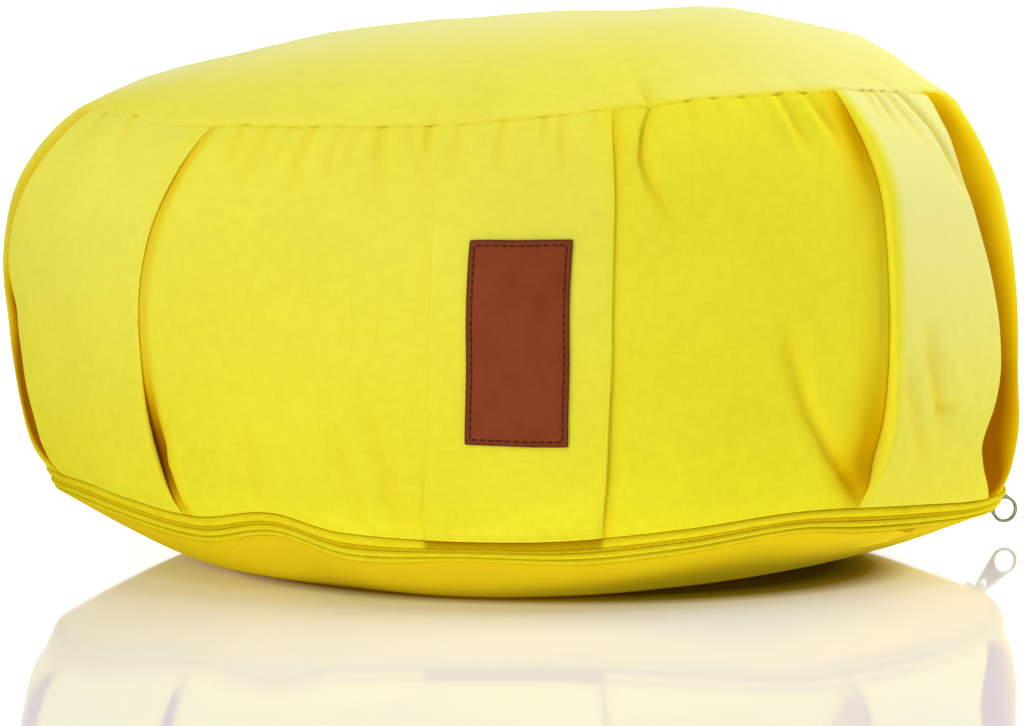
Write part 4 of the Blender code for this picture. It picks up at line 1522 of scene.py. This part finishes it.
            # Painted shade in the zip's channel, under the band's hem.
            lay(ring, ring[:, :2], still + self.channel_shade)
        for height in self.band_heights():
            azimuth, out, shade = self.section(float(height), sewn=height >= 1.0)
            if height <= 0.0:
                out = out * self.hem_freedom
            ring = form.band_points(azimuth, float(height), out)
            away = (1.0 - float(height)) * form.band_length
            radius = float(form.band.read("radius", 0.5))
            place = np.stack((np.radians(azimuth) * radius, still + height * form.band_length), axis=1)
            shade = shade + self.sewn_dark(azimuth, away)
            shade = shade + self.creased_dark(form.band_sunk(azimuth, float(height)))
            lay(self.grooved(ring, azimuth, away), place, shade)
        for share in self.crown_shares():
            ring = form.crown_points(top_azimuth, float(share))
            away = (1.0 - float(share)) * form.top_seam_radius
            shade = self.sewn_dark(top_azimuth, away)
            shade = shade + self.creased_dark(form.crown_sunk(top_azimuth, float(share)))
            lay(self.grooved(ring, top_azimuth, away), ring[:, :2], shade)
        for lower, upper in zip(loops, loops[1:]):
            shell.bridge(lower, upper)
        centres = shell.add(np.vstack((form.crown_points(np.zeros(1), 0.0),
                                       ((form.lower_shift_x, 0.0, 0.0),))))
        shell.fan(loops[-1], int(centres[0]))
        shell.fan(loops[0], int(centres[1]), flip=True)
        cover = shell.make("cushion_cover", self.finishes.cotton)
        dark = np.concatenate((*shades, (0.0, self.belly_shade)))
        set_shade(cover, PAINTED_SHADE, dark)
        # Painted sheen, taken out where painted shade lies.
        set_shade(cover, PAINTED_SHEEN, self.paleness(np.vstack(shell.points)) * np.clip(1 - 2 * dark, 0, 1))
        self.map_cloth(cover, loops, maps)
        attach(cover, "root")
        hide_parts("cushion_body")
        return cover

    def paleness(self, points: np.ndarray) -> np.ndarray:
        """How much painted sheen pales each point: most on the crown and the right pleat.

        Args:
            points: Rows of x, y and z.

        Returns:
            A share from 0 to 1 for each point.
        """
        azimuth = np.degrees(np.arctan2(points[:, 0], -points[:, 1]))
        low, seam = self.form.hem.read("z", azimuth), self.form.top_seam.read("z", azimuth)
        height = np.clip((points[:, 2] - low) / (seam - low), 0, 1)
        up = smooth_step(-1.0 * MM, 2.0 * MM, points[:, 2] - seam)
        ridge = self.form.crown.read("z", points[:, 0])
        risen = np.clip((points[:, 2] - seam) / (ridge - seam), 0.0, 1.0)
        right = self.pale_right * smooth_step(0.03, 0.12, points[:, 0])
        crown = self.pale_rim + right + (self.pale_ridge - right) * risen**self.pale_power
        side = self.pale_side.read("pale", azimuth)
        inside = smooth_step(0.2, 2.4, azimuth - RIGHT_PLEAT.left.read("azimuth", height))
        inside = inside * smooth_step(-0.3, 0.3, RIGHT_PLEAT.right.read("azimuth", height) - azimuth)
        side = side + self.pale_pleat * inside
        side = side * (self.pale_low + (1 - self.pale_low) * smooth_step(0.015, 0.15, points[:, 2]))
        return np.clip(side * (1 - up) + crown * up, 0.0, 1.0)

    def map_cloth(self, cover: Object, loops: list[np.ndarray], maps: list[np.ndarray]) -> None:
        """Gives each face corner its place on the flat cloth.

        Args:
            cover: The cover's object.
            loops: Its rings' point numbers.
            maps: For each ring, the places of its points on the cloth.
        """
        place = np.vstack((*maps, np.zeros((2, 2))))
        mesh = cover.data
        corners = corner_points(mesh)
        uv = place[corners]
        first_band = len(self.belly_shares()) + len(self.channel_shares)
        band = range(first_band, first_band + len(self.band_heights()))
        start, end = int(loops[band.start][0]), int(loops[band[-1]][-1])
        wrap = 2 * math.pi * float(self.form.band.read("radius", 0.5))
        on_band = (corners >= start) & (corners <= end)
        faces = np.repeat(np.arange(len(mesh.polygons)), [p.loop_total for p in mesh.polygons])
        highest = np.full(len(mesh.polygons), -np.inf)
        np.maximum.at(highest, faces, np.where(on_band, uv[:, 0], -np.inf))
        late = on_band & (highest[faces] - uv[:, 0] > wrap / 2)
        uv[late, 0] += wrap
        top_ring = (corners >= int(loops[band[-1]][0])) & (corners <= end)
        points = np.empty(len(mesh.vertices) * 3)
        mesh.vertices.foreach_get("co", points)
        flat = points.reshape(-1, 3)[corners, :2]
        for beyond, ring in ((corners > end, top_ring), (corners < start, on_band)):
            joins = np.zeros(len(mesh.polygons), bool)
            np.logical_or.at(joins, faces, beyond)
            swap = joins[faces] & ring
            uv[swap] = flat[swap]
        set_cloth_map(cover, uv)


# ---- the zip ------------------------------------------------------------------------------------
@dataclass
class Zip:
    """The zip between the band's hem and the bottom panel: two tapes, a coil and its stitches."""

    form: CoverForm
    finishes: Finishes
    clearance: float = 0.35 * MM
    step: float = 0.4
    tape_flat: float = 0.7 * MM
    channel_width: float = 7.8 * MM
    lip_foot: float = 0.35
    lip_power: float = 0.6
    coil_share: float = 0.42
    tooth_pitch: float = 0.85 * MM
    tooth_length: float = 1.25 * MM
    tooth_radius: float = 0.34 * MM
    tooth_lean: float = 10.0
    # Painted shade: groove_shade darkens the tapes' grooves, and hem_shadow paints a shadow under the front
    # pleat's hem.
    groove_shade: float = 0.7
    hem_shadow: float = 0.5
    hem_shadow_end: float = 0.42
    hem_shadow_soft: float = 0.10
    stitch_pitch: float = 2.6 * MM
    stitch_length: float = 2.0 * MM
    stitch_radius: float = 0.17 * MM
    stitch_share: float = 0.75
    stitch_seat: float = 0.36 * MM

    @property
    def near(self) -> float:
        """How far the tapes' undersides lie above the channel's floor."""
        return self.clearance * 0.5

    def azimuths(self) -> np.ndarray:
        """Places along the zip, in degrees."""
        count = round((self.form.zip_end - self.form.zip_start) / self.step)
        return np.linspace(self.form.zip_start, self.form.zip_end, count + 1)

    def places_by_length(self, pitch: float) -> np.ndarray:
        """Places at even distances along the zip.

        Args:
            pitch: The distance, in metres.

        Returns:
            Their azimuths, in degrees.
        """
        length = math.radians(self.form.zip_end - self.form.zip_start) * self.form.lower_seam_radius
        count = round(length / pitch)
        return np.linspace(self.form.zip_start + 0.5, self.form.zip_end - 0.5, count)

    def tape(self, name: str, node: str, profile: Sequence[tuple[float, float]]) -> Object:
        """One tape, as a strip with a rounded lip.

        Args:
            name: The piece's name.
            node: The solid it stands for.
            profile: Shares down the channel and heights above its floor, right round the strip.

        Returns:
            The tape's object.
        """
        azimuths = self.azimuths()
        shell = Shell()
        loops = [shell.add(self.form.channel(azimuths, share, out)) for share, out in profile]
        for one, other in zip(loops, (*loops[1:], loops[0])):
            shell.bridge(one, other, closed=False)
        for end in (0, -1):
            corners = [int(loop[end]) for loop in loops]
            shell.faces.append(tuple(corners if end else reversed(corners)))
        tape = shell.make(name, self.finishes.tape)
        wide = self.channel_width
        across = np.cumsum([0.0] + [math.dist((a * wide, b), (c * wide, d))
                                    for (a, b), (c, d) in zip(profile, profile[1:])])
        along = np.radians(azimuths) * self.form.lower_seam_radius
        place = np.stack(np.meshgrid(along, across), axis=-1).reshape(-1, 2)
        set_cloth_map(tape, place[corner_points(tape.data)])
        set_shade(tape, PAINTED_SHADE, self.shaded(azimuths, profile))
        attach(tape, "root")
        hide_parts(node)
        return tape

    def shaded(self, azimuths: np.ndarray, profile: Sequence[tuple[float, float]]) -> np.ndarray:
        """How dark the painted shade on a tape is: in the grooves beside its lips, and a painted shadow
        under the front pleat's hem.

        Args:
            azimuths: Places along the zip.
            profile: Shares down the channel and heights above its floor.

        Returns:
            A shade for each point of the strip.
        """
        share, out = np.array(profile).T
        groove = self.groove_shade * (1.0 - out / out.max()) ** 1.5
        left, right = (float(rows.read("azimuth", 0.0)) for rows in (FRONT_PLEAT.left, FRONT_PLEAT.right))
        under = smooth_step(left - 0.4, left + 0.4, azimuths) * smooth_step(-0.4, 0.4, right - azimuths)
        hem = self.hem_shadow * np.clip((self.hem_shadow_end - share) / self.hem_shadow_soft, 0.0, 1.0)
        return np.clip(groove[:, None] + hem[:, None] * under[None, :], 0.0, 1.0).ravel()

    def lip(self, start: float, end: float, rise: float) -> list[tuple[float, float]]:
        """A soft rounded lip across the channel.

        Args:
            start: The share of the channel where the lip starts.
            end: Where it ends.
            rise: How high it stands, in metres.

        Returns:
            Shares and heights along the lip.
        """
        lip = []
        for t in (0.0, 0.06, 0.17, 0.33, 0.5, 0.67, 0.83, 0.94, 1.0):
            swell = self.lip_foot + (1 - self.lip_foot) * math.sin(math.pi * t) ** self.lip_power
            lip.append((start + (end - start) * t, self.near + rise * swell))
        return lip

    def upper_profile(self) -> list[tuple[float, float]]:
        """The upper tape's cross-section: its lip, and the flat part that the coil lies on.

        Returns:
            Shares down the channel and heights above its floor.
        """
        coil_end = 2 * self.coil_share - 0.36
        return [(0.0, self.near), *self.lip(0.0, 0.345, 1.75 * MM), (0.365, self.near + self.tape_flat),
                (coil_end, self.near + self.tape_flat), (coil_end, self.near)]

    def lower_profile(self) -> list[tuple[float, float]]:
        """The lower tape's cross-section: two lips with a stitched groove between them."""
        over = [*self.lip(0.985, 0.765, 1.5 * MM), *self.lip(0.735, 0.505, 1.8 * MM)]
        return [(0.495, self.near), *reversed(over), (0.985, self.near)]

    def coil(self) -> Object:
        """The coil's fine teeth, side by side across the channel.

        Returns:
            The coil's object.
        """
        height = self.near + self.tape_flat + 0.2 * self.tooth_radius
        places = self.places_by_length(self.tooth_pitch)
        middle = self.form.channel(places, self.coil_share, height)
        above = self.form.channel(places, self.coil_share - 0.1, height)
        lifted = self.form.channel(places, self.coil_share, height + MM)
        lean = math.tan(math.radians(self.tooth_lean))
        spots = []
        for m, u, o, place in zip(middle, above, lifted, places):
            direction = Vector(u - m).normalized() + sideways(place) * lean
            spots.append((Vector(m), direction, Vector(o - m)))
        coil = capsules("zip_coil_teeth", spots, self.tooth_length, self.tooth_radius, 1.0,
                        self.finishes.coil, segments=8, rings=2)
        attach(coil, "root")
        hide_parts("zip_coil")
        return coil

    def stitches(self, name: str, share: float, out: float) -> Object:
        """A row of stitches along a tape.

        Args:
            name: The piece's name.
            share: Where the row lies down the channel.
            out: Its height above the channel's floor.

        Returns:
            The stitches' object.
        """
        places = self.places_by_length(self.stitch_pitch)
        middle = self.form.channel(places, share, out)
        ahead = self.form.channel(places + 0.2, share, out)
        lifted = self.form.channel(places, share, out + MM)
        spots = [(Vector(m), Vector(a - m), Vector(o - m)) for m, a, o in zip(middle, ahead, lifted)]
        row = capsules(name, spots, self.stitch_length, self.stitch_radius, 0.8, self.finishes.thread, 6, 2)
        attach(row, "root")
        return row

    def build(self) -> list[Object]:
        """Makes the zip's pieces.

        Returns:
            The tapes, the coil and the stitches.
        """
        return [
            self.tape("zip_tape_top", "zip_tape_upper", self.upper_profile()),
            self.tape("zip_tape_low", "zip_tape_lower", self.lower_profile()),
            self.coil(),
            self.stitches("zip_stitches", self.stitch_share, self.near + self.stitch_seat),
        ]


@dataclass
class Slider:
    """The zip's slider with its bridge, and the flat pull with an eye and a finger ring."""

    form: CoverForm
    finishes: Finishes
    azimuth: float = 106.0
    seat: float = (0.70 + 1.5 + 0.9) * MM
    length: float = 9.5 * MM
    width: float = 6.4 * MM
    thickness: float = 1.8 * MM
    bridge_width: float = 6.2 * MM
    bridge_height: float = 4.0 * MM
    bar: float = 1.1 * MM
    arch_power: float = 0.55
    plate_rounding: float = 0.45 * MM
    pull_rounding: float = 0.35 * MM
    ring_outer: float = 4.95 * MM
    ring_inner: float = 3.80 * MM
    eye_outer: float = 2.70 * MM
    eye_inner: float = 1.60 * MM
    span: float = 11.8 * MM
    pull_thickness: float = 1.3 * MM
    droop: float = 46.0

    def axes(self) -> Matrix:
        """The slider's own axes: x along the zip, y down the channel and z outward.

        Returns:
            The matrix from them to the scene.
        """
        here = np.array((self.azimuth,))
        top, low, middle = (Vector(self.form.channel(here, s)[0]) for s in (0.0, 1.0, 0.5))
        turn = math.radians(self.azimuth)
        along = sideways(self.azimuth)
        outward = along.cross(top - low).normalized()
        if outward.dot(Vector((math.sin(turn), -math.cos(turn), 0.0))) < 0:
            outward.negate()
        turned = Matrix((along, outward.cross(along), outward)).transposed().to_4x4()
        return Matrix.Translation(middle + outward * self.seat) @ turned

    @staticmethod
    def plate(name: str, outlines: Sequence[Sequence[tuple[float, float]]], thickness: float,
              rounding: float, material: Material) -> Object:
        """A flat plate with holes and rounded edges.

        Args:
            name: The plate's name.
            outlines: Its outer outline, then each hole's.
            thickness: Its whole thickness.
            rounding: The radius of its edges.
            material: Its finish.

        Returns:
            The plate's object, lying in its own XY plane.
        """
        curve = bpy.data.curves.new(name, "CURVE")
        curve.dimensions = "2D"
        curve.fill_mode = "BOTH"
        curve.extrude = thickness / 2 - rounding
        curve.bevel_depth = rounding
        curve.bevel_resolution = 3
        curve.offset = -rounding
        for outline in outlines:
            spline = curve.splines.new("POLY")
            spline.points.add(len(outline) - 1)
            spline.use_cyclic_u = True
            for point, (x, y) in zip(spline.points, outline):
                point.co = (x, y, 0.0, 1.0)
        mesh = mesh_of(curve, material)
        mesh.shade_smooth()
        mesh.set_sharp_from_angle(angle=math.radians(METAL_SHARP))
        return placed(name, mesh)

    @staticmethod
    def circle(centre: float, radius: float, steps: int) -> list[tuple[float, float]]:
        """A circle's outline round a place on the x axis."""
        turns = np.linspace(0, 2 * math.pi, steps, endpoint=False)
        return [(centre + radius * math.cos(t), radius * math.sin(t)) for t in turns]

    def body(self) -> Object:
        """The slider's plate, its side walls and its bridge.

        Returns:
            The slider's object.
        """
        half, wide = self.length / 2, self.width / 2
        side = [(half * x, wide * y) for x, y in (
            (1.0, 0.35), (0.93, 0.72), (0.75, 0.97), (0.4, 1.0), (-0.4, 0.86), (-0.8, 0.8),
            (-0.96, 0.62), (-1.0, 0.3))]
        outline = (*side, *((x, -y) for x, y in reversed(side)))
        plate = self.plate("slider_plate", (outline,), self.thickness, self.plate_rounding,
                           self.finishes.nickel)
        arch_half, top = self.bridge_width / 2 - self.bar / 2, self.thickness / 2 + self.bridge_height
        path = [(arch_half * math.copysign(abs(math.cos(t)) ** self.arch_power, math.cos(t)), 0.0,
                 (top - self.bar / 2) * math.sin(t) ** self.arch_power)
                for t in np.linspace(0, math.pi, 25)]
        bridge = tube("slider_bridge", path, self.bar / 2, self.finishes.nickel)
        slider = join_meshes((plate, bridge), "zip_slider_fine")
        slider.data.set_sharp_from_angle(angle=math.radians(METAL_SHARP))
        slider.matrix_world = self.axes()
        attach(slider, "root")
        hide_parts("zip_slider")
        return slider

    def pull(self) -> Object:
        """The pull, hanging outward and down from the bridge.

        Returns:
            The pull's object.
        """
        outline = []
        lean = math.asin((self.ring_outer - self.eye_outer) / self.span)
        for centre, radius, start, end in (
            (self.span, self.ring_outer, -math.pi / 2 - lean, math.pi / 2 + lean),
            (0.0, self.eye_outer, math.pi / 2 + lean, 1.5 * math.pi - lean),
        ):
            for turn in np.linspace(start, end, 33):
                outline.append((centre + radius * math.cos(turn), radius * math.sin(turn)))
        holes = (self.circle(self.span, self.ring_inner, 48), self.circle(0.0, self.eye_inner, 32))
        pull = self.plate("zip_pull_fine", (outline, *holes), self.pull_thickness, self.pull_rounding,
                          self.finishes.nickel)
        axes = self.axes()
        eye = axes @ Vector((0, 0, self.thickness / 2 + self.bridge_height - self.bar / 2))
        turn, droop = math.radians(self.azimuth), math.radians(self.droop)
        along = sideways(self.azimuth)
        span = Vector((math.sin(turn) * math.cos(droop), -math.cos(turn) * math.cos(droop),
                       -math.sin(droop)))
        turned = Matrix((span, along.cross(span).normalized(), -along)).transposed().to_4x4()
        pull.matrix_world = Matrix.Translation(eye) @ turned
        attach(pull, "root")
        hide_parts("zip_pull")
        return pull

    def build(self) -> list[Object]:
        """Makes the slider and its pull."""
        return [self.body(), self.pull()]


# ---- the label ----------------------------------------------------------------------------------
@dataclass
class Label:
    """The bare leather label, sewn round its edge to the front pleat."""

    form: CoverForm
    finishes: Finishes
    width: float = 33.0 * MM
    length: float = 66.5 * MM
    thickness: float = 1.5 * MM
    azimuth: float = 0.65
    height: float = 0.475
    side_lean: float = 5.0
    end_lean: float = 3.3
    corner: float = 0.6 * MM
    rounding: float = 0.55 * MM
    inset: float = 1.8 * MM
    groove: float = 0.28 * MM
    groove_width: float = 0.45 * MM
    burnish_width: float = 0.7 * MM
    sunk: float = 0.3 * MM
    grid: float = 1.2 * MM
    stitch_pitch: float = 2.6 * MM
    stitch_length: float = 1.9 * MM
    stitch_radius: float = 0.26 * MM

    def places(self, half: float) -> np.ndarray:
        """Places across the label, closer together near its edges and its stitches.

        Args:
            half: Half the label's size that way.

        Returns:
            Metres from its middle.
        """
        near = np.array((0.0, 0.05, 0.14, 0.28, 0.45, 0.7, 1.0, 1.3, 1.55, 1.8, 2.05, 2.3, 2.8)) * MM
        inner = np.linspace(near[-1], 2 * half - near[-1], max(4, round((2 * half) / self.grid)))[1:-1]
        return np.concatenate((near, inner, 2 * half - near[::-1])) - half

    def rounded(self, across: np.ndarray, up: np.ndarray) -> tuple[np.ndarray, np.ndarray]:
        """Moves grid points so that the label's corners are round.

        Args:
            across: Metres to the right of its middle.
            up: Metres above its middle.

        Returns:
            The moved distances across and up.
        """
        x = np.clip(np.abs(across) - (self.width / 2 - self.corner), 0, None) / self.corner
        y = np.clip(np.abs(up) - (self.length / 2 - self.corner), 0, None) / self.corner
        round_x, round_y = x * np.sqrt(1 - y * y / 2), y * np.sqrt(1 - x * x / 2)
        return (across - np.sign(across) * (x - round_x) * self.corner,
                up - np.sign(up) * (y - round_y) * self.corner)

    def on_cloth(self, across: np.ndarray, up: np.ndarray, out: Values) -> np.ndarray:
        """Points of the label in space.

        Args:
            across: Metres to the right of its middle.
            up: Metres above its middle.
            out: Metres in front of the pleat's face.

        Returns:
            Rows of x, y and z.
        """
        side = across + up * math.tan(math.radians(self.side_lean))
        rise = up - across * math.tan(math.radians(self.end_lean))
        tall = float(self.form.top_seam.read("z", 0.0) - self.form.hem.read("z", 0.0))
        height = (self.height + rise / tall).ravel()
        azimuth = self.azimuth + self.form.degrees_of(side.ravel(), height)
        stand = FRONT_PLEAT.out(azimuth, height, self.form.lift_width) + np.ravel(out + 0 * side)
        return self.form.band_points(azimuth, height, stand)

    def build(self) -> list[Object]:
        """Makes the leather and its stitches.

        Returns:
            The label's objects.
        """
        columns, rows = self.places(self.width / 2), self.places(self.length / 2)
        across, up = np.meshgrid(columns, rows)
        edge_x, edge_y = self.width / 2 - np.abs(across), self.length / 2 - np.abs(up)
        away = np.minimum(edge_x, edge_y)
        away = np.where((edge_x < self.corner) & (edge_y < self.corner),
                        self.corner - np.hypot(self.corner - edge_x, self.corner - edge_y), away)
        away = np.maximum(away, 0.0)
        across, up = self.rounded(across, up)
        bend = np.clip(away / self.rounding, 0.0, 1.0)
        face = self.thickness - self.rounding * (1 - np.sqrt(1 - (1 - bend) ** 2))
        face = face - self.groove * hump(away - self.inset, self.groove_width)
        shell = Shell()
        front = shell.add(self.on_cloth(across, up, face)).reshape(across.shape)
        back = shell.add(self.on_cloth(across, up, -self.sunk)).reshape(across.shape)
        for i in range(len(rows) - 1):
            shell.bridge(front[i], front[i + 1], closed=False)
            shell.bridge(back[i + 1], back[i], closed=False)
        rims = [np.concatenate((g[0, :-1], g[:-1, -1], g[-1, :0:-1], g[:0:-1, 0])) for g in (back, front)]
        shell.bridge(rims[0], rims[1])
        label = shell.make("label_leather", self.finishes.leather, sharp=60.0)
        burnished = np.concatenate((np.exp(-away.ravel() / self.burnish_width), np.ones(across.size)))
        set_shade(label, EDGE_SHADE, burnished)
        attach(label, "root")
        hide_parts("label")
        return [label, self.stitching()]

    def stitching(self) -> Object:
        """The row of stitches just inside the label's edge.

        Returns:
            The stitches' object.
        """
        half_x, half_y = self.width / 2 - self.inset, self.length / 2 - self.inset
        corners = ((-half_x, -half_y), (half_x, -half_y), (half_x, half_y), (-half_x, half_y))
        spots = []
        for (x0, y0), (x1, y1) in zip(corners, (*corners[1:], corners[0])):
            count = round(math.dist((x0, y0), (x1, y1)) / self.stitch_pitch)
            for k in range(count):
                share = (k + 0.5) / count
                x, y = x0 + (x1 - x0) * share, y0 + (y1 - y0) * share
                dx, dy = (x1 - x0) / count * 0.2, (y1 - y0) / count * 0.2
                height = self.thickness - self.groove * 0.45
                m, a, o = self.on_cloth(np.array((x, x + dx, x)), np.array((y, y + dy, y)),
                                        np.array((height, height, height + MM)))
                spots.append((Vector(m), Vector(a - m), Vector(o - m)))
        stitches = capsules("label_stitches", spots, self.stitch_length, self.stitch_radius, 0.7,
                            self.finishes.dark_thread)
        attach(stitches, "root")
        return stitches


# ---- the studio ---------------------------------------------------------------------------------
@dataclass(frozen=True)
class Lamp:
    """A soft rectangular light: where it stands round the cushion, its size and its power."""

    name: str
    azimuth: float
    elevation: float
    distance: float
    width: float
    height: float
    power: float

    def build(self, aim: Vector) -> Object:
        """Places the light and points it at a place.

        Args:
            aim: The place.

        Returns:
            The light's object.
        """
        lamp = bpy.data.lights.new(self.name, "AREA")
        lamp.shape = "RECTANGLE"
        lamp.size, lamp.size_y = self.width, self.height
        lamp.energy = self.power
        made = placed(self.name, lamp)
        a, e = math.radians(self.azimuth), math.radians(self.elevation)
        away = Vector((math.sin(a) * math.cos(e), -math.cos(a) * math.cos(e), math.sin(e)))
        made.location = aim + away * self.distance
        made.visible_camera = False
        made.rotation_euler = (-away).to_track_quat("-Z", "Y").to_euler()
        return made


@dataclass(frozen=True)
class Studio:
    """The camera, the pale floor and the soft lights.

    The camera's focal length, and how far the horizon lies above the middle of the frame, are in
    pixels of an image so many pixels wide.
    """

    distance: float = 1.9
    eye_height: float = 0.2231
    sensor: float = 36.0
    image_width: int = 1024
    focal_length: int = 5345
    horizon: int = 438
    clip_end: float = 200.0
    floor_near: float = 6.0
    floor_far: float = 26.0
    floor_width: float = 30.0
    backdrop_height: float = 9.0
    backdrop_glow: float = 1.45
    world_strength: float = 0.04
    aim: tuple[float, float, float] = (0.0, 0.0, 0.1)
    under_place: tuple[float, float, float] = (0.14, -0.28, -0.50)
    under_radius: float = 0.15
    under_power: float = 3.1
    lamps: tuple[Lamp, ...] = (
        Lamp("low_front_left", -28.0, -0.8, 2.3, 1.6, 0.12, 13.2),
        Lamp("low_front_right", 25.0, -0.8, 2.3, 1.6, 0.12, 2.5),
        Lamp("high_front", -18.0, 34.0, 2.2, 1.2, 1.0, 13.0),
        Lamp("side_right", 108.0, 26.0, 1.9, 1.2, 1.0, 24.5),
        Lamp("side_left", -105.0, 26.0, 1.9, 1.2, 1.0, 6.5),
        Lamp("overhead", 0.0, 88.0, 2.2, 1.6, 1.6, 24.2),
    )

    def build(self) -> None:
        """Makes the camera, floor, backdrop, lights and world."""
        scene = bpy.context.scene
        scene.view_settings.view_transform = "Standard"
        lens = bpy.data.cameras.new("camera")
        lens.lens = self.sensor * self.focal_length / self.image_width
        lens.sensor_width = self.sensor
        lens.clip_end = self.clip_end
        camera = placed("camera", lens)
        camera.location = (0.0, -self.distance, self.eye_height)
        tilt = math.degrees(math.atan(self.horizon / self.focal_length))
        camera.rotation_euler = (math.radians(90.0 - tilt), 0.0, 0.0)
        scene.camera = camera
        half, near, far, high = self.floor_width / 2, -self.floor_near, self.floor_far, self.backdrop_height
        self.sheet("floor", FloorFinish().build(),
                   ((-half, near, 0), (half, near, 0), (half, far, 0), (-half, far, 0)))
        self.sheet("backdrop", GlowFinish(self.backdrop_glow).build(),
                   ((-half, far, 0), (half, far, 0), (half, far, high), (-half, far, high)))
        world = bpy.data.worlds.new("studio")
        world.use_nodes = True
        background = world.node_tree.nodes["Background"]
        background.inputs["Color"].default_value = (1.0, 1.0, 1.0, 1.0)
        background.inputs["Strength"].default_value = self.world_strength
        scene.world = world
        for lamp in self.lamps:
            lamp.build(Vector(self.aim))

    def fill_from_under(self, pieces: Sequence[Object]) -> None:
        """Lights the bottom panel as a white floor's bounced light does, through the floor.

        Args:
            pieces: What the light falls on. Only the backdrop, behind them, blocks it.
        """
        bulb = bpy.data.lights.new("under_fill", "POINT")
        bulb.energy, bulb.shadow_soft_size = self.under_power, self.under_radius
        lamp = placed("under_fill", bulb)
        lamp.location = self.under_place
        lamp.light_linking.receiver_collection = bpy.data.collections.new("lit_from_under")
        lamp.light_linking.blocker_collection = bpy.data.collections.new("blocks_light_from_under")
        for piece in pieces:
            lamp.light_linking.receiver_collection.objects.link(piece)
        lamp.light_linking.blocker_collection.objects.link(bpy.data.objects["backdrop"])

    @staticmethod
    def sheet(name: str, material: Material, corners: Sequence[Sequence[float]]) -> None:
        """A flat part of the studio.

        Args:
            name: The object's name.
            material: Its finish.
            corners: Its four corners, in order.
        """
        shell = Shell()
        shell.faces.append(tuple(int(k) for k in shell.add(np.array(corners, float))))
        shell.make(name, material)


def main() -> None:
    """Builds every piece around the frame, in order."""
    logging.basicConfig(level=logging.INFO, format="%(name)s: %(message)s")
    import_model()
    studio = Studio()
    studio.build()
    finishes = Finishes()
    form = CoverForm()
    cover = Cover(form, finishes).build()
    LOG.info("cover: %d points", len(cover.data.vertices))
    pieces = [piece for part in (Zip, Slider, Label) for piece in part(form, finishes).build()]
    for piece in pieces:
        LOG.info("%s: %d faces", piece.name, len(piece.data.polygons))
    studio.fill_from_under((cover, *pieces))


if __name__ == "__main__":
    main()
